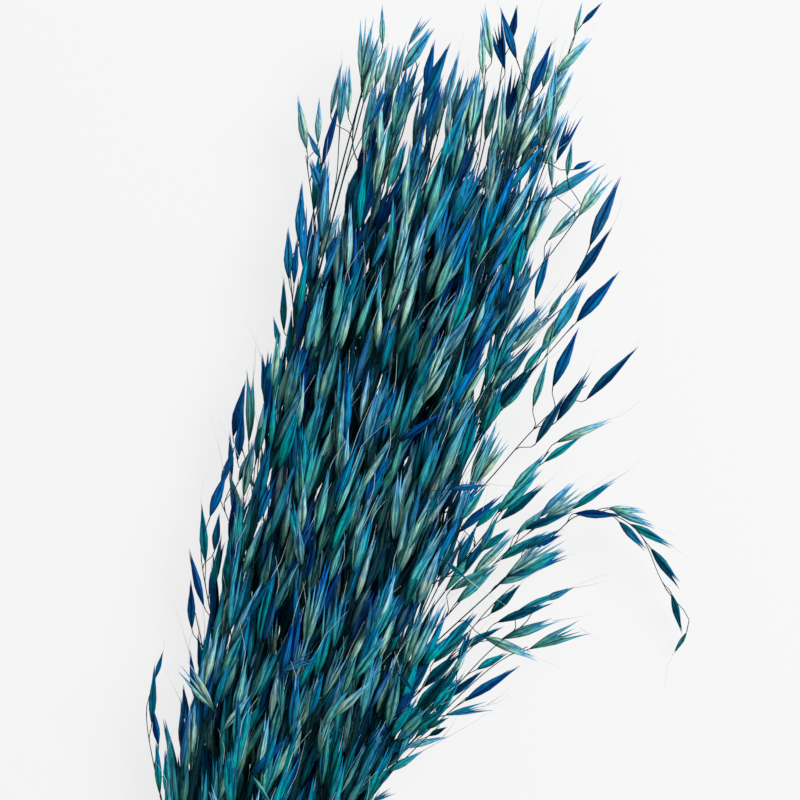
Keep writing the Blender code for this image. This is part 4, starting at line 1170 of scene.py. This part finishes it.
def husk_layers(nodes, husk):
    """Share and colour of each layer over the husk's ground colour, from the lowest to the highest."""
    times, times_plus, maths, mix = nodes.times, nodes.times_plus, nodes.maths, nodes.mix
    stain = nodes.spread(nodes.clouds(nodes.object_place(), 190.0, 2.0), 0.53, 0.68)
    washed = times(husk.streak, times_plus(husk.pale, 1.05, -0.04))
    pale_belly = times(times(times(husk.belly, husk.pale), 1.1), times_plus(husk.lot, -1.0, 1.0))
    # painted shade at the root, which lies hidden under the other husks
    root_painted_shade = maths("POWER", maths("SUBTRACT", 1.0, husk.along), 5.0)
    husk_shade = maths("MAXIMUM", maths("ADD", husk.lot, -0.60), 0.0)
    # random darker husks, plus the dark share, which is dark dye with painted shade in it
    shade = maths("MINIMUM", times_plus(husk_shade, 1.5, times(husk.dark, 0.84)), 0.93)
    return (
        # undyed cream
        (times(husk.cream, times_plus(husk.belly, 1.2, 0.3)), linear(188, 180, 112)),
        # blue and violet stains
        (times(stain, 0.80), mix(husk.lot, linear(6, 74, 172), linear(60, 66, 180))),
        # valleys between the nerves, then the nerves
        (times_plus(husk.nerve, -0.70, 0.70), linear(0, 32, 42)),
        (times(husk.nerve, 0.30), mix(husk.blue, linear(0, 166, 178), linear(16, 124, 204))),
        # vivid streaks, then pale ones
        (times(husk.streak, 0.32), mix(husk.blue, linear(0, 190, 192), linear(24, 152, 216))),
        (
            maths("MINIMUM", maths("MAXIMUM", washed, 0.0), 0.95),
            mix(husk.along, linear(156, 212, 178), linear(122, 204, 234)),
        ),
        (pale_belly, linear(188, 208, 154)),
        # dark margin, pale tip and flecks, then painted shade at the root, which lies hidden under other
        # husks
        (times(maths("POWER", maths("ABSOLUTE", husk.across), 4.0), 0.55), linear(0, 74, 102)),
        (times(maths("POWER", husk.along, 4.0), times(husk.pale, 0.8)), linear(120, 176, 226)),
        (times(husk.fleck, 0.50), linear(0, 36, 46)),
        (times(root_painted_shade, 0.75), linear(0, 32, 30)),
        # darkest layer: dark dye, random darker husks and painted shade deep inside the bunch
        (shade, mix(husk.blue, linear(0, 26, 32), linear(8, 26, 70))),
    )


print("ramp stops", len(HUSK_RAMP), "and", len(BLUE_RAMP))

# %% [markdown]
# Dark husk colours, from dark dye and from painted shade alike, are made purer than pale ones, which paints
# in the saturated colour of shade among blue-green husks. The last step before the shader takes out most of
# a weak red and leaves a strong one alone.

# %% Dyed husk finish
RED_KEPT = 0.45
RED_REGAINED = 4.0
MOST_RED = 1.1


def purer(nodes, colour):
    """The colour with its red cut down where there is little of it."""
    red, green, blue = nodes.add("ShaderNodeSeparateColor", {0: colour}).outputs
    kept = nodes.maths("MINIMUM", nodes.times_plus(red, RED_REGAINED, RED_KEPT), MOST_RED)
    return nodes.add("ShaderNodeCombineColor", enumerate((nodes.times(red, kept), green, blue))).outputs[0]


def build_husk_finish():
    """Papery dyed husk: colour along the husk, tinted by its own dye numbers, with nerves and streaks."""
    finish, nodes = new_finish("dyed_husk")
    husk = husk_values(nodes)
    ripeness = nodes.times_plus(husk.lot, 0.26, nodes.maths("ADD", husk.along, -0.13))
    colour = nodes.mix(husk.blue, nodes.ramp(ripeness, HUSK_RAMP), nodes.ramp(ripeness, BLUE_RAMP))
    for share, paint in husk_layers(nodes, husk):
        colour = nodes.mix(share, colour, paint)
    # painted shade colour: most of the red is taken out of the dark places
    nodes.put(purer(nodes, colour), nodes.shader.inputs["Base Color"])
    nodes.put(nodes.times_plus(husk.streak, 0.15, 0.55), nodes.shader.inputs["Roughness"])
    nodes.put(0.015, nodes.shader.inputs["Specular IOR Level"])
    nodes.relief(nodes.maths("ADD", husk.nerve, nodes.times(husk.fleck, 0.4)), 0.35)
    return finish


husk_finish = build_husk_finish()
print("finish", husk_finish.name)

# %% [markdown]
# The straws and branches took less dye than the husks. They are a dull teal up in the heads, and fade to
# the straw's own green tan towards the cut ends. Fine lines run along them. The awns stay a pale grey.

# %% Stem and awn finishes
STEM_TOP = (0, 44, 52)
STEM_MIDDLE = (44, 84, 72)
STEM_CUT = (158, 150, 104)
STEM_DYED_Y = HEAD_BASE_Y + 0.06
LINE_SCALE = (900.0, 14.0, 900.0)


def build_stem_finish():
    """Straw and branches: dull teal in the heads, green tan at the cut ends, with lines along Y."""
    finish, nodes = new_finish("dyed_stem")
    place = nodes.object_place()
    y = nodes.add("ShaderNodeSeparateXYZ", {0: place}).outputs[1]
    height = nodes.spread(y, CUT_END_Y + MOVE.y, STEM_DYED_Y + MOVE.y)
    colour = nodes.ramp(height, ((0.0, STEM_CUT), (0.55, STEM_MIDDLE), (1.0, STEM_TOP)))
    stretched = nodes.add("ShaderNodeMapping", {0: place, "Scale": LINE_SCALE}, vector_type="POINT")
    lines = nodes.clouds(stretched.outputs[0], 1.0, 2.0)
    patches = nodes.clouds(place, 60.0, 2.0)
    colour = nodes.mix(nodes.times(lines, 0.45), colour, linear(0, 28, 30))
    undyed = nodes.times(patches, nodes.times_plus(height, -0.42, 0.44))
    nodes.put(nodes.mix(undyed, colour, linear(128, 132, 88)), nodes.shader.inputs["Base Color"])
    nodes.put(0.55, nodes.shader.inputs["Roughness"])
    nodes.put(0.03, nodes.shader.inputs["Specular IOR Level"])
    nodes.relief(lines, 0.3)
    return finish


def build_awn_finish():
    """Pale dry bristle with a little uneven dye."""
    finish, nodes = new_finish("pale_awn")
    patches = nodes.clouds(nodes.object_place(), 90.0, 2.0)
    colour = nodes.mix(patches, linear(206, 212, 210), linear(132, 152, 156))
    nodes.put(colour, nodes.shader.inputs["Base Color"])
    nodes.put(0.6, nodes.shader.inputs["Roughness"])
    return finish


stem_finish = build_stem_finish()
awn_finish = build_awn_finish()
print("finishes", stem_finish.name, awn_finish.name)

# %% [markdown]
# Each spikelet is a copy of one of the kinds, moved to its place and stamped with its tint, and all the
# copies of a stalk become one mesh. Instances would be lighter, but a kept part has to carry its own faces.

# %% Join each stalk's spikelets
pieces = []


def finished_piece(name, mesh, finish, slot, *nodes):
    """Object of this mesh that rides on the part, takes the finish and stands for CAD nodes; slot is not
    used.
    """
    mesh.materials.clear()
    mesh.materials.append(finish)
    piece = bpy.data.objects.new(name, mesh)
    bpy.context.scene.collection.objects.link(piece)
    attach(piece, "root")
    if nodes:
        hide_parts(*nodes)
    pieces.append(piece)


def joined_mesh(name, meshes):
    """One mesh made of these, which are used up."""
    bm = bmesh.new()
    for mesh in meshes:
        bm.from_mesh(mesh)
        bpy.data.meshes.remove(mesh)
    joined = bpy.data.meshes.new(name)
    bm.to_mesh(joined)
    bm.free()
    return joined


def spikelet_copy(kind, place, tint):
    """Copy of one kind of spikelet in its place, with its tint on every point."""
    copy = kinds[kind].copy()
    copy.transform(place)
    values = np.tile(np.array(tint, dtype=np.float32), len(copy.vertices))
    copy.attributes["dye"].data.foreach_set("color", values)
    return copy


for stalk in stalks:
    mesh = joined_mesh(f"{stalk.name}_husks", (spikelet_copy(*spikelet) for spikelet in stalk.spikelets))
    finished_piece(f"{stalk.name}_husks", mesh, husk_finish, "dyed_oat", stalk.name)
print("husk faces", sum(len(piece.data.polygons) for piece in pieces))

# %% [markdown]
# Straws, branches, awns and twine are all thin tubes. A curve with a radius at each of its points draws
# them.

# %% Tubes




def tubes_mesh(name, paths, resolution):
    """Mesh of closed round tubes, one along each path of places and radii."""
    curve = bpy.data.curves.new(name, "CURVE")
    curve.dimensions = "3D"
    curve.bevel_depth = 1.0
    curve.bevel_resolution = resolution
    curve.use_fill_caps = True
    for path in paths:
        spline = curve.splines.new("POLY")
        spline.points.add(len(path) - 1)
        for knot, (place, radius) in zip(spline.points, path):
            knot.co = (*(place + MOVE), 1.0)
            knot.radius = radius
    holder = bpy.data.objects.new(name, curve)
    bpy.context.scene.collection.objects.link(holder)
    bpy.context.view_layer.update()
    mesh = bpy.data.meshes.new_from_object(holder.evaluated_get(bpy.context.evaluated_depsgraph_get()))
    bpy.data.objects.remove(holder)
    bpy.data.curves.remove(curve)
    bm = bmesh.new()
    bm.from_mesh(mesh)
    bmesh.ops.remove_doubles(bm, verts=bm.verts, dist=1e-7)
    bmesh.ops.recalc_face_normals(bm, faces=bm.faces)
    for face in bm.faces:
        face.smooth = len(face.verts) == 4
    bm.to_mesh(mesh)
    bm.free()
    return mesh


print("straws to draw", len(stalks))

# %% [markdown]
# A straw is a tube with a swollen knee, where a leaf sheath starts that wraps the straw for a hand's width.
# It thins into the head's central stem. Each stalk's straw and branches become one piece.

# %% Straws, central stems and branches
STRAW_RADIUS = 0.00145
STEM_TIP_RADIUS = 0.00024
STEM_STEP = 0.016
STEM_THINNING = 0.6
KNEE_FIRST_Y = -0.465
KNEE_STEP = 0.013
KNEE_PLACES = 5
# y from the knee, swelling
KNEE_SHAPE = ((-0.0045, 1.0), (-0.0020, 1.22), (0.0, 1.36), (0.0016, 1.18), (0.004, 1.1))
SHEATH_LENGTH = 0.062
SHEATH_SWELL = 1.08


def straw_path(stalk):
    """Places and radii of one straw and its central stem, from the cut end to the tip."""
    knee_y = KNEE_FIRST_Y + KNEE_STEP * (stalk.index % KNEE_PLACES)
    rows = [(stalk.cut_y, STRAW_RADIUS)]
    rows += [(knee_y + shift, STRAW_RADIUS * swell) for shift, swell in KNEE_SHAPE]
    sheath_end = knee_y + SHEATH_LENGTH
    rows += [(sheath_end - 0.001, STRAW_RADIUS * SHEATH_SWELL), (sheath_end, STRAW_RADIUS)]
    y = sheath_end + STEM_STEP
    while y < stalk.tip_y:
        thinning = clamp((y - HEAD_BASE_Y) / (stalk.tip_y - HEAD_BASE_Y))
        rows.append((y, STRAW_RADIUS + (STEM_TIP_RADIUS - STRAW_RADIUS) * thinning ** STEM_THINNING))
        y += STEM_STEP
    rows.append((stalk.tip_y + 0.001, STEM_TIP_RADIUS))
    path = [(stalk.point(y), radius) for y, radius in rows]
    for place, radius in path:
        place.z = max(place.z, radius)
    return path


for stalk in stalks:
    tubes = (tubes_mesh("straw", [straw_path(stalk)], 3), tubes_mesh("branches", stalk.branches, 0))
    mesh = joined_mesh(f"{stalk.name}_stem", tubes)
    finished_piece(f"{stalk.name}_stem", mesh, stem_finish, "dyed_oat", stalk.name)
print("branches", sum(len(stalk.branches) for stalk in stalks))

# %% [markdown]
# Some husks keep a long bristle, the awn. Awns are what makes the outline look hairy, so they are real,
# fine tubes that lean out of the tips of the spikelets near the outside. The longest are placed by pixel.

# %% Awns
AWN_RADIUS = 0.00008
AWN_SHARE = 0.30
AWN_ROOM = 0.002
AWN_KNEE = 0.45
AWN_LENGTH = (0.009, 0.024)
AWN_PARTS = 5
AWN_REACH = 0.5
LOWEST_AWN = 0.0006
AWN_FROM = 0.75
TIP_SHARE = 0.86
box_low, box_high = (Vector(corner) for corner in cad_box)
awn_draw = random.Random(77)


def awn_path(place):
    """Places and radii of a bristle that bends away from the spikelet at this place."""
    way = (place.to_3x3() @ UP).normalized()
    start = place @ (UP * SPIKELET_LENGTH * AWN_FROM) - MOVE
    bend = Vector((awn_draw.uniform(-1, 1), awn_draw.uniform(-0.4, 0.4), awn_draw.uniform(-0.3, 1.0))) * 0.5
    length = awn_draw.uniform(*AWN_LENGTH)
    path = []
    for k in range(AWN_PARTS + 1):
        share = k / AWN_PARTS
        spot = start + way * length * share + bend * length * max(0.0, share - AWN_KNEE)
        spot.x = min(max(spot.x, box_low.x - MOVE.x - AWN_ROOM), box_high.x - MOVE.x + AWN_ROOM)
        spot.y = min(spot.y, box_high.y - MOVE.y + AWN_ROOM)
        spot.z = min(max(spot.z, LOWEST_AWN), box_high.z)
        path.append((spot, AWN_RADIUS * (1.4 - share)))
    return path


awns = []
for stalk in stalks:
    for kind, place, tint in stalk.spikelets:
        if stalk.reach >= AWN_REACH and awn_draw.random() <= AWN_SHARE:
            awns.append(awn_path(place))
# the longest ones, each from pixel to pixel of the photograph
EDGE_AWNS = (
    (179, 703, 166, 668), (187, 655, 173, 601), (216, 467, 211, 414), (220, 458, 219, 419),
    (614, 480, 645, 455), (585, 367, 595, 345), (428, 750, 520, 688), (447, 735, 459, 714),
    (495, 703, 512, 678), (250, 348, 246, 318), (262, 384, 257, 348), (560, 619, 607, 604),
    (574, 588, 609, 573), (546, 482, 562, 463), (203, 660, 196, 622), (590, 628, 601, 640),
    (560, 205, 583, 178), (597, 178, 606, 168), (548, 60, 562, 34), (474, 470, 524, 486),
)
husk_tips = [
    place @ (UP * SPIKELET_LENGTH * TIP_SHARE) - MOVE
    for stalk in stalks for kind, place, tint in stalk.spikelets
]
for column, row, end_column, end_row in EDGE_AWNS:
    listed = seen_at(column, row)
    start = min(husk_tips, key=lambda tip: (tip - listed).to_2d().length)
    end = seen_at(end_column, end_row, VIEW_MIDDLE.z)
    end.z = start.z + 0.002
    middle = (start + end) / 2.0 + Vector((0.0006, -0.0004, 0.0))
    awns.append([(start, AWN_RADIUS * 1.4), (middle, AWN_RADIUS), (end, AWN_RADIUS * 0.6)])
finished_piece("awns", tubes_mesh("awns", awns, 0), awn_finish, "dyed_oat")
print("awns", len(awns))

# %% [markdown]
# The tie is plain two-ply twine: three turns side by side, an overhand knot on top and two short ends. Each
# ply is a thin tube that winds round the twine's own middle line, which is what makes it read as twisted.

# %% Twine tie
TWINE_RADIUS = 0.00100
PLY_RADIUS = 0.00058
PLY_TWIST = 0.0048
PLY_STEP = 0.0007
TIE_RADIUS = 0.01345
TURNS = 3
TURN_POINTS = 40
TURN_SPACING = 2.1
KNOT_AT = math.radians(68.0)
KNOT_RADIUS = 0.0016
KNOT_LIFT = 0.0020
KNOT_POINTS = 30
TAIL_LENGTH = 0.024
TAIL_POINTS = 8
knot_out = Vector((math.cos(KNOT_AT), 0.0, math.sin(KNOT_AT)))
knot_round = Vector((math.sin(KNOT_AT), 0.0, -math.cos(KNOT_AT)))


def twine_reach(middle, way):
    """How far the twine's middle line lies from the tie's middle, drawn tight over the outermost straws."""
    reach = max((stalk.point(TIE_Y) - middle).dot(way) for stalk in stalks) + STRAW_RADIUS + TWINE_RADIUS
    return min(reach, TIE_RADIUS)


def tie_turns(middle):
    """Middle line of the twine's turns, side by side round the straws."""
    line = []
    for k in range(TURNS * TURN_POINTS + 1):
        share = k / TURN_POINTS
        angle = KNOT_AT - share * 2.0 * math.pi
        y = (share / TURNS - 0.5) * TURNS * TWINE_RADIUS * TURN_SPACING
        way = Vector((math.cos(angle), 0.0, math.sin(angle)))
        line.append(middle + way * twine_reach(middle, way) + Vector((0.0, y, 0.0)))
    return line


def knot_loops(knot):
    """Middle line of an overhand knot, which is a trefoil left open."""
    loops = []
    for k in range(KNOT_POINTS + 1):
        t = math.radians(20.0 + k * 320.0 / KNOT_POINTS)
        x, y, z = math.sin(t) + 2 * math.sin(2 * t), math.cos(t) - 2 * math.cos(2 * t), -math.sin(3 * t)
        flat = knot_round * x * KNOT_RADIUS * 0.75 + Vector((0.0, y * KNOT_RADIUS * 0.6, 0.0))
        loops.append(knot + flat + knot_out * z * 0.0009)
    return loops


def knot_tail(knot, side):
    """Middle line of one short end that arches away from the knot."""
    tail = []
    for k in range(TAIL_POINTS + 1):
        share = k / TAIL_POINTS
        reach = share * TAIL_LENGTH
        ahead = Vector((0.0, side * reach * 0.75, 0.0)) + knot_round * reach * 0.55
        tail.append(knot + ahead + knot_out * (0.0004 + 0.004 * math.sin(share * math.pi)))
    return tail


def tie_lines():
    """Middle lines of the twine: turns, knot and both tails."""
    middle = Vector((0.0, TIE_Y, TIE_MIDDLE_Z))
    knot = middle + knot_out * (twine_reach(middle, knot_out) + KNOT_LIFT)
    return [tie_turns(middle), knot_loops(knot), knot_tail(knot, -1.0), knot_tail(knot, 1.0)]


print("knot at", round(math.degrees(KNOT_AT), 1), "degrees")

# %% [markdown]
# Two plies wind round each of the lines, half a turn apart. A square-on pair of directions is carried along
# the line, so that the plies don't jump where it bends.

# %% Twist the twine
TWINE_RAMP = ((0.32, (104, 80, 48)), (0.5, (168, 140, 96)), (0.7, (206, 184, 142)))


def twisted_plies(line):
    """Two plies that wind round the line."""
    fine = smooth_path(line, PLY_STEP)
    plies = [[], []]
    travelled = 0.0
    for k, place in enumerate(fine):
        before, after = fine[max(k - 1, 0)], fine[min(k + 1, len(fine) - 1)]
        way = (after - before).normalized()
        travelled += (place - fine[max(k - 1, 0)]).length
        side = way.orthogonal() if k == 0 else (side - way * side.dot(way)).normalized()
        side.normalize()
        other = way.cross(side)
        turn = travelled / PLY_TWIST * 2.0 * math.pi
        for ply, phase in zip(plies, (0.0, math.pi)):
            offset = side * math.cos(turn + phase) + other * math.sin(turn + phase)
            ply.append((place + offset * (TWINE_RADIUS - PLY_RADIUS), PLY_RADIUS))
    return plies


def build_twine_finish():
    """Dry natural twine: tan with paler and darker fibres along it."""
    finish, nodes = new_finish("natural_twine")
    fuzz = nodes.clouds(nodes.object_place(), 1400.0, 4.0)
    nodes.put(nodes.ramp(fuzz, TWINE_RAMP), nodes.shader.inputs["Base Color"])
    nodes.put(0.9, nodes.shader.inputs["Roughness"])
    nodes.relief(fuzz, 0.5)
    return finish


plies = [ply for line in tie_lines() for ply in twisted_plies(line)]
finished_piece("twine", tubes_mesh("twine", plies, 1), build_twine_finish(), "twine", "tie")
print("twine runs", len(plies))

# %% [markdown]
# The triangles that the finished pieces add are counted. The finished pieces have to fill the same
# box as the solids that they stand for.

# %% Triangles added
triangles = [sum(len(face.vertices) - 2 for face in piece.data.polygons) for piece in pieces]
print("triangles added", sum(triangles), "most in a piece", max(triangles))
